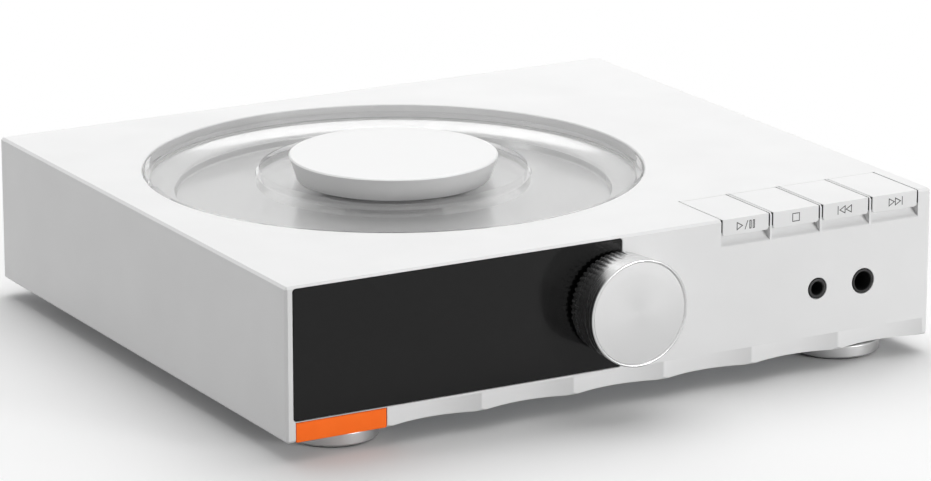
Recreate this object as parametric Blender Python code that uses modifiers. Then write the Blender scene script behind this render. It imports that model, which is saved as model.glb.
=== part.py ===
"""A top-loading cd player with a lift-off clear cover, modelled piece by piece.

All lengths are in metres. Z is up, the floor is z = 0, and the front faces -Y.
A depth is measured down from the top of the case, or in from its front.
"""

import math

import bmesh
import bpy
from mathutils import Matrix, Vector

# Case
CASE_WIDTH = 0.242
CASE_DEPTH = 0.215
CASE_HEIGHT = 0.0508
TOP_THICKNESS = 0.005
SIDE_THICKNESS = 0.004
FRONT_THICKNESS = 0.006
EDGE_ROUND = 0.0005
POST_SIZE = 0.009
POST_FRONT_INSET = 0.04

# Fits
SEAT_GAP = 0.0003
RUNNING_GAP = 0.0003
OVERRUN = 0.002

# Bottom plate and feet
BASE_THICKNESS = 0.0016
BASE_RECESS = 0.0006
FOOT_LIFT = 0.006
FOOT_RADIUS = 0.015
FOOT_NECK_RADIUS = 0.008
FOOT_CLEARANCE = 0.0004
FOOT_CHAMFER = 0.0006
FOOT_SIDE_INSET = 0.0253
FOOT_FRONT_INSET = 0.0178
PAD_RADIUS = 0.0128
PAD_PROUD = 0.0008
PAD_THICKNESS = 0.0022

# Flutes along the lower front: the first bay holds the badge plate
FLUTE_PITCH = 0.034
FLUTE_DEPTH = 0.0032
FLUTE_HEIGHT = 0.0061
FLUTE_COUNT = 6
BADGE_LENGTH = 0.032
BADGE_SIDE_INSET = 0.0034
BADGE_HEIGHT = 0.0064
BADGE_THICKNESS = 0.0015

# Display
WINDOW_WIDTH = 0.1188
WINDOW_LOW_INSET = 0.007
WINDOW_THICKNESS = 0.002
WINDOW_SIDE_INSET = 0.0027
WINDOW_TOP_INSET = 0.001
WINDOW_CORNER = 0.0013
WINDOW_CLEARANCE = 0.0002
DISPLAY_BORDER = 0.004
DISPLAY_TOP_BORDER = 0.0052
DISPLAY_KNOB_BORDER = 0.014
DISPLAY_THICKNESS = 0.0032
DISPLAY_BOARD_BORDER = 0.0015

# Knob and its encoder
KNOB_WINDOW_OVERLAP = 0.003
KNOB_DROP = 0.0213
KNOB_PROTRUSION = 0.0166
KNOB_STANDOFF = 0.001
KNOB_FACE_RADIUS = 0.0178
KNOB_BASE_RADIUS = 0.0173
KNOB_RIBS = 54
KNOB_RIB_DEPTH = 0.0006
KNOB_RIB_END_SHARE = 0.2
KNOB_RIM = 0.0016
KNOB_RIM_DEPTH = 0.0012
KNOB_FACE_DISH = 0.0003
KNOB_CAVITY_RADIUS = 0.0135
KNOB_CAVITY_DEPTH = 0.008
SHAFT_RADIUS = 0.003
SHAFT_KNOB_DEPTH = 0.0125
BUSH_RADIUS = 0.0045
BUSH_PROUD = 0.005
ENCODER_SIZE = 0.0125
ENCODER_DEPTH = 0.0115
ENCODER_SHAFT_DEPTH = 0.004
PUSH_TRAVEL = 0.0006
PUSH_RADIUS = 0.0013
PUSH_LENGTH = 0.003

# Keys
KEY_COUNT = 4
KEY_WIDTH = 0.01785
KEY_SPACING = 0.0017
KEY_SIDE_INSET = 0.0057
KEY_LENGTH = 0.0262
KEY_THICKNESS = 0.0024
KEY_LIP_HEIGHT = 0.0056
KEY_LIP_THICKNESS = 0.0026
KEY_CORNER = 0.0011
KEY_GAP = 0.00035
KEY_PIVOT_LENGTH = 0.023
KEY_PIVOT_DROP = 0.0074
KEY_LUG_RADIUS = 0.0022
KEY_NUB_LENGTH = 0.011
KEY_NUB_WIDTH = 0.0025
KEY_NUB_DROP = 0.0073
KEY_RECESS_DROP = 0.009
KEY_RECESS_RISE = 0.0034
KEY_RECESS_DEPTH = 0.0034
KEY_SILL_DROP = 0.0038
KEY_ROD_RADIUS = 0.001
KEY_STEM_RADIUS = 0.0016
KEY_STEM_HEIGHT = 0.0022
KEY_SWITCH_SIZE = 0.006
KEY_SWITCH_HEIGHT = 0.0036
KEY_SWITCH_WELL = 0.0022
KEY_BOARD_LENGTH = 0.013
KEY_BOARD_START = 0.0075
BRACKET_THICKNESS = 0.001
BRACKET_FLANGE = 0.007
BRACKET_STANDOFF = 0.004
EAR_THICKNESS = 0.0008
EAR_RADIUS = 0.003

# Front sockets
SOCKET_DROP = 0.0285
LARGE_SOCKET_INSET = 0.0266
SMALL_SOCKET_INSET = 0.0447
LARGE_BEZEL_RADIUS = 0.00435
SMALL_BEZEL_RADIUS = 0.0036
LARGE_BORE_RADIUS = 0.0032
SMALL_BORE_RADIUS = 0.00225
SOCKET_BORE_DEPTH = 0.02
SOCKET_BODY_LENGTH = 0.019
SOCKET_BODY_WIDTH = 0.014
SOCKET_BODY_HEIGHT = 0.012
SOCKET_BOARD_MARGIN = 0.004

# Well and cover
WELL_RADIUS = 0.08504
WELL_X = -0.0208
WELL_BEHIND_CENTRE = 0.0064
WELL_FLANGE = 0.008
WELL_SEAT = 0.0028
WELL_STEP_RADIUS = 0.0742
WELL_STEP_DROP = 0.007
WELL_FLOOR_DROP = 0.0103
WELL_SHELL = 0.002
WELL_DRAFT = 0.0003
WELL_HUB_OPENING = 0.0172
COVER_CLEARANCE = 0.0007
COVER_THICKNESS = 0.0022
COVER_RIM_WIDTH = 0.002
COVER_EDGE_CHAMFER = 0.0003
COVER_DISH_RADIUS = 0.0455
COVER_DISH_DROP = 0.0039
COVER_DISH_WALL = 0.0012
COVER_LIFT = 0.03
PUCK_TOP_RADIUS = 0.0355
PUCK_BASE_RADIUS = 0.0328
PUCK_PROUD = 0.00445
PUCK_CHAMFER = 0.0005
PUCK_WALL = 0.0085
PUCK_TOP_THICKNESS = 0.0025
PUCK_PIN_RADIUS = 0.0015

# Disc clamp and turntable
CLAMP_FLANGE_RADIUS = 0.02
CLAMP_FLANGE_THICKNESS = 0.0012
CLAMP_RADIUS = 0.0165
CLAMP_DROP = 0.0082
CLAMP_SEAT_WIDTH = 0.0035
CLAMP_SEAT_STEP = 0.0008
MAGNET_RADIUS = 0.0097
MAGNET_BORE_RADIUS = 0.0045
MAGNET_THICKNESS = 0.0015
DISC_SEAT_DROP = 0.009
HUB_RADIUS = 0.0145
HUB_THICKNESS = 0.0022
HUB_CONE_RADIUS = 0.0073
HUB_CONE_TOP_RADIUS = 0.0056
HUB_CONE_HEIGHT = 0.0011
HUB_NECK_RADIUS = 0.004
HUB_NECK_LENGTH = 0.0018
SPINDLE_RADIUS = 0.001
SPINDLE_LENGTH = 0.0117
MOTOR_RADIUS = 0.0125
MOTOR_HEIGHT = 0.0095
MOTOR_BOSS_RADIUS = 0.0035
MOTOR_BOSS_HEIGHT = 0.0035
MOTOR_CHAMFER = 0.0008

# Traverse: deck, dampers, rods and sled, about the well's axis
DECK_DROP = 0.016
DECK_THICKNESS = 0.0015
DECK_LEFT = 0.032
DECK_RIGHT = 0.054
DECK_FRONT = 0.022
DECK_BACK = 0.077
DECK_CORNER = 0.004
DAMPER_BORDER = 0.006
DAMPER_BACK = 0.048
DAMPER_RADIUS = 0.005
DAMPER_WAIST_RADIUS = 0.0033
DAMPER_PIN_RADIUS = 0.002
DAMPER_HALF_HEIGHT = 0.0026
DAMPER_SHOULDER_RADIUS = 0.004
ROD_SPACING = 0.034
ROD_RADIUS = 0.0015
ROD_DROP = 0.0205
ROD_START = 0.0055
ROD_END = 0.074
ROD_BLOCK_WIDTH = 0.006
ROD_BLOCK_LENGTH = 0.0045
ROD_BLOCK_DROP = 0.0232
SLED_REST = 0.023
SLED_TRAVEL = 0.035
SLED_LENGTH = 0.02
SLED_OVERHANG = 0.0035
SLED_TOP_DROP = 0.0181
SLED_BOTTOM_DROP = 0.0238
SLED_TOWER_WIDTH = 0.017
SLED_TOWER_TOP_DROP = 0.0134
SLED_WINDOW_MARGIN = 0.003
LENS_HOLDER_RADIUS = 0.0045
LENS_HOLDER_HEIGHT = 0.0016
LENS_RADIUS = 0.0022
LENS_RISE = 0.0005
LENS_FLOAT = 0.0008
LENS_RIM = 0.0005
LENS_SLOT_WIDTH = 0.016
LENS_SLOT_MARGIN = 0.0015

# Feed train
GEAR_MODULE = 0.0008
GEAR_ADDENDUM_SHARE = 0.85
GEAR_DEDENDUM_SHARE = 1.15
GEAR_BACKLASH = 0.00015
PRESSURE_ANGLE = math.radians(20)
RACK_LINE = 0.024
RACK_TEETH = 16
RACK_THICKNESS = 0.0027
RACK_BACK = 0.0195
SMALL_GEAR_TEETH = 12
LARGE_GEAR_TEETH = 36
PINION_TEETH = 12
CURVED_FLANK_TEETH = 20
GEAR_AHEAD = 0.040
GEAR_FACE = 0.0022
GEAR_STEP = 0.0003
GEAR_PIN_RADIUS = 0.0012
PINION_ANGLE = math.radians(-45)
FEED_MOTOR_RADIUS = 0.0085
FEED_MOTOR_HEIGHT = 0.0085
FEED_SHAFT_RADIUS = 0.001
FEED_SHAFT_LENGTH = 0.005

# Boards and the rear panel
BOARD_THICKNESS = 0.0016
BOARD_STANDOFF = 0.004
STANDOFF_RADIUS = 0.003
BOARD_SIDE_GAP = 0.002
MAIN_BOARD_WIDTH = 0.152
MAIN_BOARD_DEPTH = 0.074
POWER_BOARD_WIDTH = 0.050
POWER_BOARD_DEPTH = 0.088
BOARD_BACK_GAP = 0.003
CHIP_HEIGHT = 0.0016
CHIP_SHARES = ((0.2, 0.3, 0.09), (0.45, 0.35, 0.11), (0.72, 0.3, 0.07), (0.88, 0.4, 0.06))
TRANSFORMER_HEIGHT = 0.0165
TRANSFORMER_SHARES = (0.28, 0.3, 0.72, 0.58)
CAPACITOR_RADIUS = 0.006
CAPACITOR_SHARES = ((0.3, 0.15), (0.7, 0.15))
PANEL_THICKNESS = 0.002
REAR_PROTRUSION = 0.008
CONNECTOR_FLANGE = 0.0015
LINE_PITCH = 0.014
LINE_BLOCK_WIDTH = 0.041
LINE_BLOCK_HEIGHT = 0.0125
LINE_BLOCK_DEPTH = 0.012
LINE_BARREL_RADIUS = 0.00415
LINE_BORE_RADIUS = 0.0016
LINE_SIDE_INSET = 0.037
OPTICAL_SIZE = 0.0098
OPTICAL_OPENING = 0.0062
OPTICAL_DEPTH = 0.012
OPTICAL_SIDE_INSET = 0.073
USB_WIDTH = 0.009
USB_HEIGHT = 0.0033
USB_WALL = 0.0004
USB_DEPTH = 0.0085
USB_SIDE_INSET = 0.09
INLET_WIDTH = 0.024
INLET_HEIGHT = 0.0165
INLET_DEPTH = 0.02
INLET_OPENING_WIDTH = 0.0137
INLET_OPENING_HEIGHT = 0.0083
INLET_OPENING_DEPTH = 0.012
INLET_SIDE_INSET = 0.026
INLET_LIFT = 0.022
SWITCH_WIDTH = 0.0205
SWITCH_HEIGHT = 0.0145
SWITCH_DEPTH = 0.013
SWITCH_WALL = 0.0016
SWITCH_SIDE_INSET = 0.056
ROCKER_TILT = math.radians(8)
ROCKER_PROUD = 0.0022
ROCKER_LENGTH = 0.0112
ROCKER_PIN_RADIUS = 0.0012

# Fineness of round pieces
FLUTE_SEGMENTS = 72
LARGE_SEGMENTS = 44
MIDDLE_SEGMENTS = 28
SMALL_SEGMENTS = 16
FINE_SEGMENTS = 12

# Places that follow from the sizes above
SIDE_X = CASE_WIDTH / 2
CASE_CENTRE_Y = (KNOB_PROTRUSION - REAR_PROTRUSION) / 2
FRONT_Y = CASE_CENTRE_Y - CASE_DEPTH / 2
BACK_Y = CASE_CENTRE_Y + CASE_DEPTH / 2
BOTTOM_Z = FOOT_LIFT
TOP_Z = FOOT_LIFT + CASE_HEIGHT
WELL_Y = CASE_CENTRE_Y + WELL_BEHIND_CENTRE
BASE_LOW_Z = BOTTOM_Z + BASE_RECESS
BASE_TOP_Z = BASE_LOW_Z + BASE_THICKNESS
BOARD_LOW_Z = BASE_TOP_Z + BOARD_STANDOFF + SEAT_GAP
BOARD_TOP_Z = BOARD_LOW_Z + BOARD_THICKNESS
WINDOW_LEFT = -SIDE_X + WINDOW_SIDE_INSET
WINDOW_RIGHT = WINDOW_LEFT + WINDOW_WIDTH
WINDOW_LOW_Z = BOTTOM_Z + WINDOW_LOW_INSET
KNOB_X = WINDOW_RIGHT - KNOB_WINDOW_OVERLAP
WELL_AXIS = (WELL_X, WELL_Y)


def depth(drop):
    """Height of a point this far below the top of the case."""
    return TOP_Z - drop


def inward(distance):
    """Y of a point this far behind the front."""
    return FRONT_Y + distance


KNOB_Z = depth(KNOB_DROP)
GEAR_X = WELL_X + RACK_LINE + GEAR_MODULE * SMALL_GEAR_TEETH / 2
GEAR_Y = WELL_Y + GEAR_AHEAD
GEAR_SPACING = GEAR_MODULE * (LARGE_GEAR_TEETH + PINION_TEETH) / 2
PINION_X = GEAR_X + GEAR_SPACING * math.cos(PINION_ANGLE)
PINION_Y = GEAR_Y + GEAR_SPACING * math.sin(PINION_ANGLE)
RACK_DROP = SLED_BOTTOM_DROP + RACK_THICKNESS
LARGE_GEAR_TOP_DROP = RACK_DROP + GEAR_STEP
LARGE_GEAR_LOW_DROP = LARGE_GEAR_TOP_DROP + GEAR_FACE


def clear_scene():
    for obj in list(bpy.data.objects):
        bpy.data.objects.remove(obj, do_unlink=True)


def new_group(name):
    group = bpy.data.collections.new(name)
    bpy.context.scene.collection.children.link(group)
    return group


def material(name, colour, roughness, metallic=0.0):
    look = bpy.data.materials.new(name)
    look.use_nodes = True
    shader = look.node_tree.nodes["Principled BSDF"]
    shader.inputs["Base Color"].default_value = (*colour, 1.0)
    shader.inputs["Roughness"].default_value = roughness
    shader.inputs["Metallic"].default_value = metallic
    return look


clear_scene()
PARTS = new_group("cd_player")
CUTTERS = new_group("cutters")
PAINTED_CASE = material("silver_white_paint", (0.82, 0.82, 0.83), 0.45, 0.1)
BLACK_GLASS = material("black_window_glass", (0.02, 0.02, 0.021), 0.08)
ORANGE_PLATE = material("orange_plate", (0.9, 0.2, 0.04), 0.4)
CLEAR_PLASTIC = material("clear_acrylic", (0.92, 0.93, 0.93), 0.03)
TURNED_ALUMINIUM = material("turned_aluminium", (0.86, 0.86, 0.87), 0.3, 1.0)
STEEL = material("bright_steel", (0.6, 0.6, 0.62), 0.3, 1.0)
ZINC_SHEET = material("zinc_plated_sheet", (0.55, 0.56, 0.58), 0.4, 1.0)
BLACK_PLASTIC = material("black_plastic", (0.02, 0.02, 0.02), 0.45)
NATURAL_PLASTIC = material("natural_acetal", (0.75, 0.74, 0.7), 0.5)
RUBBER = material("black_rubber", (0.03, 0.03, 0.03), 0.8)
LENS_GLASS = material("coated_lens", (0.25, 0.3, 0.5), 0.05)
GREEN_BOARD = material("circuit_board", (0.03, 0.18, 0.08), 0.5)
MAGNET_GREY = material("ferrite_magnet", (0.1, 0.1, 0.1), 0.6)


def finish_mesh(mesh, look):
    mesh.shade_smooth()
    mesh.set_sharp_from_angle(angle=math.radians(30))
    if look:
        mesh.materials.append(look)


def place(name, mesh, look, location=(0, 0, 0)):
    """A named object. One without a look is a cutter or an addition, kept apart."""
    obj = bpy.data.objects.new(name, mesh)
    obj.location = location
    (PARTS if look else CUTTERS).objects.link(obj)
    if not look:
        obj.hide_render = True
        obj.display_type = "WIRE"
    return obj


def from_bmesh(name, solid, look, location):
    mesh = bpy.data.meshes.new(name)
    solid.to_mesh(mesh)
    solid.free()
    finish_mesh(mesh, look)
    return place(name, mesh, look, location)


def block(name, low, high, look=None):
    """A box between two opposite corners."""
    low, high = Vector(low), Vector(high)
    solid = bmesh.new()
    bmesh.ops.create_cube(solid, size=1)
    bmesh.ops.scale(solid, vec=high - low, verts=solid.verts)
    return from_bmesh(name, solid, look, (low + high) / 2)


def rod(name, radius, start, end, look=None, segments=SMALL_SEGMENTS):
    """A round bar between two points."""
    start, end = Vector(start), Vector(end)
    solid = bmesh.new()
    bmesh.ops.create_cone(solid, cap_ends=True, segments=segments, radius1=radius, radius2=radius,
                          depth=(end - start).length)
    turn = (end - start).to_track_quat("Z", "Y").to_matrix().to_4x4()
    bmesh.ops.transform(solid, matrix=turn, verts=solid.verts)
    return from_bmesh(name, solid, look, (start + end) / 2)


def turned(name, profile, look=None, location=(0, 0, 0), closed=True, segments=MIDDLE_SEGMENTS):
    """A profile of (radius, height) points, down its outer side, screwed about Z."""
    mesh = bpy.data.meshes.new(name)
    points = [(radius, 0, height) for radius, height in profile]
    edges = [(i, i + 1) for i in range(len(points) - 1)]
    if closed:
        edges.append((len(points) - 1, 0))
    mesh.from_pydata(points, edges, [])
    if look:
        mesh.materials.append(look)
    obj = place(name, mesh, look, location)
    screw = obj.modifiers.new("turn", "SCREW")
    screw.steps = screw.render_steps = segments
    screw.use_merge_vertices = True
    screw.merge_threshold = 0.00001
    screw.use_smooth_shade = True
    return obj


def plate(name, outlines, low, high, plane="XY", look=None):
    """Flat outlines, extruded square to their plane from low to high."""
    curve = bpy.data.curves.new(name, "CURVE")
    curve.dimensions = "2D"
    curve.fill_mode = "BOTH"
    curve.extrude = (high - low) / 2
    for outline in outlines:
        spline = curve.splines.new("POLY")
        spline.points.add(len(outline) - 1)
        for point, (across, up) in zip(spline.points, outline):
            point.co = (across, up, 0, 1)
        spline.use_cyclic_u = True
    middle = (low + high) / 2
    across_x = Matrix(((0, 0, 1, 0), (1, 0, 0, 0), (0, 1, 0, 0), (0, 0, 0, 1)))
    turns = {
        "XY": Matrix.Translation((0, 0, middle)),
        "XZ": Matrix.Translation((0, middle, 0)) @ Matrix.Rotation(math.radians(90), 4, "X"),
        "YZ": Matrix.Translation((middle, 0, 0)) @ across_x,
    }
    guide = bpy.data.objects.new(name + "_outline", curve)
    CUTTERS.objects.link(guide)
    guide.matrix_world = turns[plane]
    graph = bpy.context.evaluated_depsgraph_get()
    mesh = bpy.data.meshes.new_from_object(guide.evaluated_get(graph))
    matrix = guide.matrix_world.copy()
    bpy.data.objects.remove(guide)
    solid = bmesh.new()
    solid.from_mesh(mesh)
    bmesh.ops.remove_doubles(solid, verts=solid.verts, dist=0.000001)
    bmesh.ops.recalc_face_normals(solid, faces=solid.faces)
    solid.to_mesh(mesh)
    solid.free()
    mesh.materials.clear()
    finish_mesh(mesh, look)
    obj = place(name, mesh, look)
    obj.matrix_world = matrix
    return obj


def combine(target, helpers, operation):
    for helper in helpers:
        modifier = target.modifiers.new(helper.name, "BOOLEAN")
        modifier.operation = operation
        modifier.object = helper


def cut(target, *cutters):
    combine(target, cutters, "DIFFERENCE")


def add(target, *pieces):
    combine(target, pieces, "UNION")


def round_edges(obj, width):
    bevel = obj.modifiers.new("rounded_edges", "BEVEL")
    bevel.width = width
    bevel.segments = 2


def axis_of(name, location, pieces):
    """An empty on a joint's axis, which carries the pieces that move about it."""
    empty = bpy.data.objects.new(name, None)
    empty.location = location
    PARTS.objects.link(empty)
    for piece in pieces:
        piece.parent = empty
        piece.matrix_parent_inverse = Matrix.Translation(-Vector(location))
    return empty


def arc(centre, radius, start, end, steps):
    """Points along a circle from one angle to another, both in radians."""
    angles = [start + (end - start) * i / steps for i in range(steps + 1)]
    return [(centre[0] + radius * math.cos(a), centre[1] + radius * math.sin(a)) for a in angles]


def circle(centre, radius, segments=SMALL_SEGMENTS):
    return arc(centre, radius, 0, 2 * math.pi, segments)[:-1]


def rounded_rectangle(left, low, right, high, corner, steps=4):
    quarter = math.pi / 2
    centres = ((right - corner, low + corner), (right - corner, high - corner),
               (left + corner, high - corner), (left + corner, low + corner))
    points = []
    for turn, centre in enumerate(centres, start=-1):
        points += arc(centre, corner, turn * quarter, (turn + 1) * quarter, steps)
    return points


def involute(base_radius, radius):
    """The angle that an involute has swept when it reaches this radius."""
    roll = math.sqrt(max((radius / base_radius) ** 2 - 1, 0))
    return roll - math.atan(roll)


def gear_outline(centre, teeth, phase):
    """An involute gear with one tooth centred on the angle phase."""
    pitch_radius = GEAR_MODULE * teeth / 2
    base_radius = pitch_radius * math.cos(PRESSURE_ANGLE)
    root_radius = pitch_radius - GEAR_MODULE * GEAR_DEDENDUM_SHARE
    tip_radius = pitch_radius + GEAR_MODULE * GEAR_ADDENDUM_SHARE
    half_tooth = (math.pi * GEAR_MODULE - GEAR_BACKLASH) / (4 * pitch_radius)
    half_tooth += involute(base_radius, pitch_radius)
    flank_start = max(base_radius, root_radius)
    radii = [flank_start, tip_radius]
    if teeth < CURVED_FLANK_TEETH:
        radii.insert(1, pitch_radius)
    flank = [(radius, half_tooth - involute(base_radius, radius)) for radius in radii]
    tooth = [(root_radius, -half_tooth)] if root_radius < base_radius else []
    tooth += [(radius, -angle) for radius, angle in flank]
    tooth += [(radius, angle) for radius, angle in reversed(flank)]
    tooth += [(root_radius, half_tooth)] if root_radius < base_radius else []
    points = []
    for number in range(teeth):
        middle = phase + 2 * math.pi * number / teeth
        for radius, angle in tooth:
            points.append((centre[0] + radius * math.cos(middle + angle),
                           centre[1] + radius * math.sin(middle + angle)))
    return points


def rack_outline(line_x, back_x, middle_y, teeth):
    """A rack whose teeth point to +X, with a gap between teeth at its middle."""
    pitch = math.pi * GEAR_MODULE
    addendum = GEAR_MODULE * GEAR_ADDENDUM_SHARE
    dedendum = GEAR_MODULE * GEAR_DEDENDUM_SHARE
    half_line = (pitch - GEAR_BACKLASH) / 4
    slope = math.tan(PRESSURE_ANGLE)
    low_y = middle_y - pitch * teeth / 2
    points = [(back_x, low_y)]
    for number in range(teeth):
        tooth_y = low_y + pitch / 2 + pitch * number
        half_root = half_line + dedendum * slope
        half_tip = half_line - addendum * slope
        points.append((line_x - dedendum, tooth_y - half_root))
        points.append((line_x + addendum, tooth_y - half_tip))
        points.append((line_x + addendum, tooth_y + half_tip))
        points.append((line_x - dedendum, tooth_y + half_root))
    points.append((back_x, low_y + pitch * teeth))
    return points


def key_left(number):
    """X of the left side of a key, counted from the left."""
    rightmost = SIDE_X - KEY_SIDE_INSET - KEY_WIDTH
    return rightmost - (KEY_WIDTH + KEY_SPACING) * (KEY_COUNT - 1 - number)


def build_housing():
    """Top, sides and fluted front in one piece, open below and behind."""
    housing = block("housing", (-SIDE_X, FRONT_Y, BOTTOM_Z), (SIDE_X, BACK_Y, TOP_Z), PAINTED_CASE)
    round_edges(housing, EDGE_ROUND)
    inner_x = SIDE_X - SIDE_THICKNESS
    inner_y = inward(FRONT_THICKNESS)
    cut(housing, block("housing_hollow", (-inner_x, inner_y, BOTTOM_Z - OVERRUN),
                       (inner_x, BACK_Y + OVERRUN, depth(TOP_THICKNESS))))
    post_low = BASE_TOP_Z + SEAT_GAP
    post_top = depth(TOP_THICKNESS - OVERRUN)
    for side in (-1, 1):
        low_x, high_x = sorted((side * (inner_x + OVERRUN), side * (inner_x - POST_SIZE)))
        for y in (inward(POST_FRONT_INSET), BACK_Y - PANEL_THICKNESS - SEAT_GAP - POST_SIZE):
            add(housing, block("post", (low_x, y, post_low), (high_x, y + POST_SIZE, post_top)))
    cut(housing, rod("well_opening", WELL_RADIUS, (*WELL_AXIS, depth(TOP_THICKNESS + OVERRUN)),
                     (*WELL_AXIS, TOP_Z + OVERRUN), segments=LARGE_SEGMENTS))
    cut_front_of(housing)
    cut_keys_from(housing)
    return housing


def cut_front_of(housing):
    """The flutes, the window and badge pockets, and the holes behind them."""
    half_pitch = FLUTE_PITCH / 2
    flute_radius = (half_pitch ** 2 + FLUTE_DEPTH ** 2) / (2 * FLUTE_DEPTH)
    flute_y = FRONT_Y - flute_radius + FLUTE_DEPTH
    first = -half_pitch * (FLUTE_COUNT - 2)
    for number in range(FLUTE_COUNT):
        x = first + FLUTE_PITCH * number
        cut(housing, rod("flute_%d" % number, flute_radius, (x, flute_y, BOTTOM_Z - OVERRUN),
                         (x, flute_y, BOTTOM_Z + FLUTE_HEIGHT), segments=FLUTE_SEGMENTS))
    badge_left = -SIDE_X + BADGE_SIDE_INSET
    cut(housing, block("badge_pocket", (badge_left - WINDOW_CLEARANCE, FRONT_Y - OVERRUN, BOTTOM_Z - OVERRUN),
                       (badge_left + BADGE_LENGTH + WINDOW_CLEARANCE, inward(BADGE_THICKNESS + SEAT_GAP),
                        BOTTOM_Z + BADGE_HEIGHT + WINDOW_CLEARANCE)))
    cut(housing, plate("window_pocket", [window_outline(WINDOW_CLEARANCE)], FRONT_Y - OVERRUN,
                       inward(WINDOW_THICKNESS + SEAT_GAP), "XZ"))
    low, high = display_box()
    cut(housing, block("display_opening", (low[0], FRONT_Y, low[1]),
                       (high[0], inward(FRONT_THICKNESS + OVERRUN), high[1])))
    cut(housing, rod("bush_hole", BUSH_RADIUS + SEAT_GAP, (KNOB_X, FRONT_Y - OVERRUN, KNOB_Z),
                     (KNOB_X, inward(FRONT_THICKNESS + OVERRUN), KNOB_Z)))
    for name, inset, radius in (("large_socket_hole", LARGE_SOCKET_INSET, LARGE_BEZEL_RADIUS),
                                ("small_socket_hole", SMALL_SOCKET_INSET, SMALL_BEZEL_RADIUS)):
        x = SIDE_X - inset
        cut(housing, rod(name, radius + SEAT_GAP, (x, FRONT_Y - OVERRUN, depth(SOCKET_DROP)),
                         (x, inward(FRONT_THICKNESS + OVERRUN), depth(SOCKET_DROP))))


def cut_keys_from(housing):
    """A slot for each key, with a scooped finger recess under its front edge and a sill behind its lip."""
    steps = 4
    scoop = []
    for step in range(steps + 1):
        turn = math.pi / 2 * step / steps
        scoop.append((inward(KEY_RECESS_DEPTH * math.sin(turn)),
                      depth(KEY_RECESS_DROP - KEY_RECESS_RISE * (1 - math.cos(turn)))))
    low_z = depth(TOP_THICKNESS + OVERRUN)
    sill_z = depth(KEY_SILL_DROP)
    sill_back = inward(FRONT_THICKNESS + OVERRUN)
    back_y = inward(KEY_LENGTH + KEY_GAP)
    outline = [(FRONT_Y - OVERRUN, TOP_Z + OVERRUN), (FRONT_Y - OVERRUN, depth(KEY_RECESS_DROP))]
    outline += scoop
    outline += [(scoop[-1][0], sill_z), (sill_back, sill_z), (sill_back, low_z), (back_y, low_z),
                (back_y, TOP_Z + OVERRUN)]
    for number in range(KEY_COUNT):
        left = key_left(number) - KEY_GAP
        cut(housing, plate("key_slot_%d" % number, [outline], left, left + KEY_WIDTH + 2 * KEY_GAP, "YZ"))


def window_outline(grow=0):
    return rounded_rectangle(WINDOW_LEFT - grow, WINDOW_LOW_Z - grow, WINDOW_RIGHT + grow,
                             depth(WINDOW_TOP_INSET) + grow, WINDOW_CORNER)


def display_box():
    """Corners, as (x, z), of the opening for the display behind the window."""
    low = (WINDOW_LEFT + DISPLAY_BORDER, WINDOW_LOW_Z + DISPLAY_BORDER)
    high = (WINDOW_RIGHT - DISPLAY_KNOB_BORDER, depth(WINDOW_TOP_INSET + DISPLAY_TOP_BORDER))
    return low, high


def build_front_trim():
    """The flush window glass, the display behind it and the badge plate."""
    window = plate("display_window", [window_outline()], FRONT_Y, inward(WINDOW_THICKNESS), "XZ",
                   BLACK_GLASS)
    cut(window, rod("window_notch", BUSH_RADIUS + SEAT_GAP, (KNOB_X, FRONT_Y - OVERRUN, KNOB_Z),
                    (KNOB_X, inward(FRONT_THICKNESS), KNOB_Z)))
    low, high = display_box()
    face_y = inward(WINDOW_THICKNESS + 2 * SEAT_GAP)
    board_y = inward(FRONT_THICKNESS + SEAT_GAP)
    display = block("display_module", (low[0] + SEAT_GAP, face_y, low[1] + SEAT_GAP),
                    (high[0] - SEAT_GAP, board_y + BOARD_THICKNESS, high[1] - SEAT_GAP), BLACK_PLASTIC)
    border = DISPLAY_BOARD_BORDER
    add(display, block("display_board", (low[0] - border, board_y, low[1] - border),
                       (high[0] + border, board_y + DISPLAY_THICKNESS, high[1])))
    badge_left = -SIDE_X + BADGE_SIDE_INSET
    block("badge_plate", (badge_left, FRONT_Y, BOTTOM_Z),
          (badge_left + BADGE_LENGTH, inward(BADGE_THICKNESS), BOTTOM_Z + BADGE_HEIGHT), ORANGE_PLATE)


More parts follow.
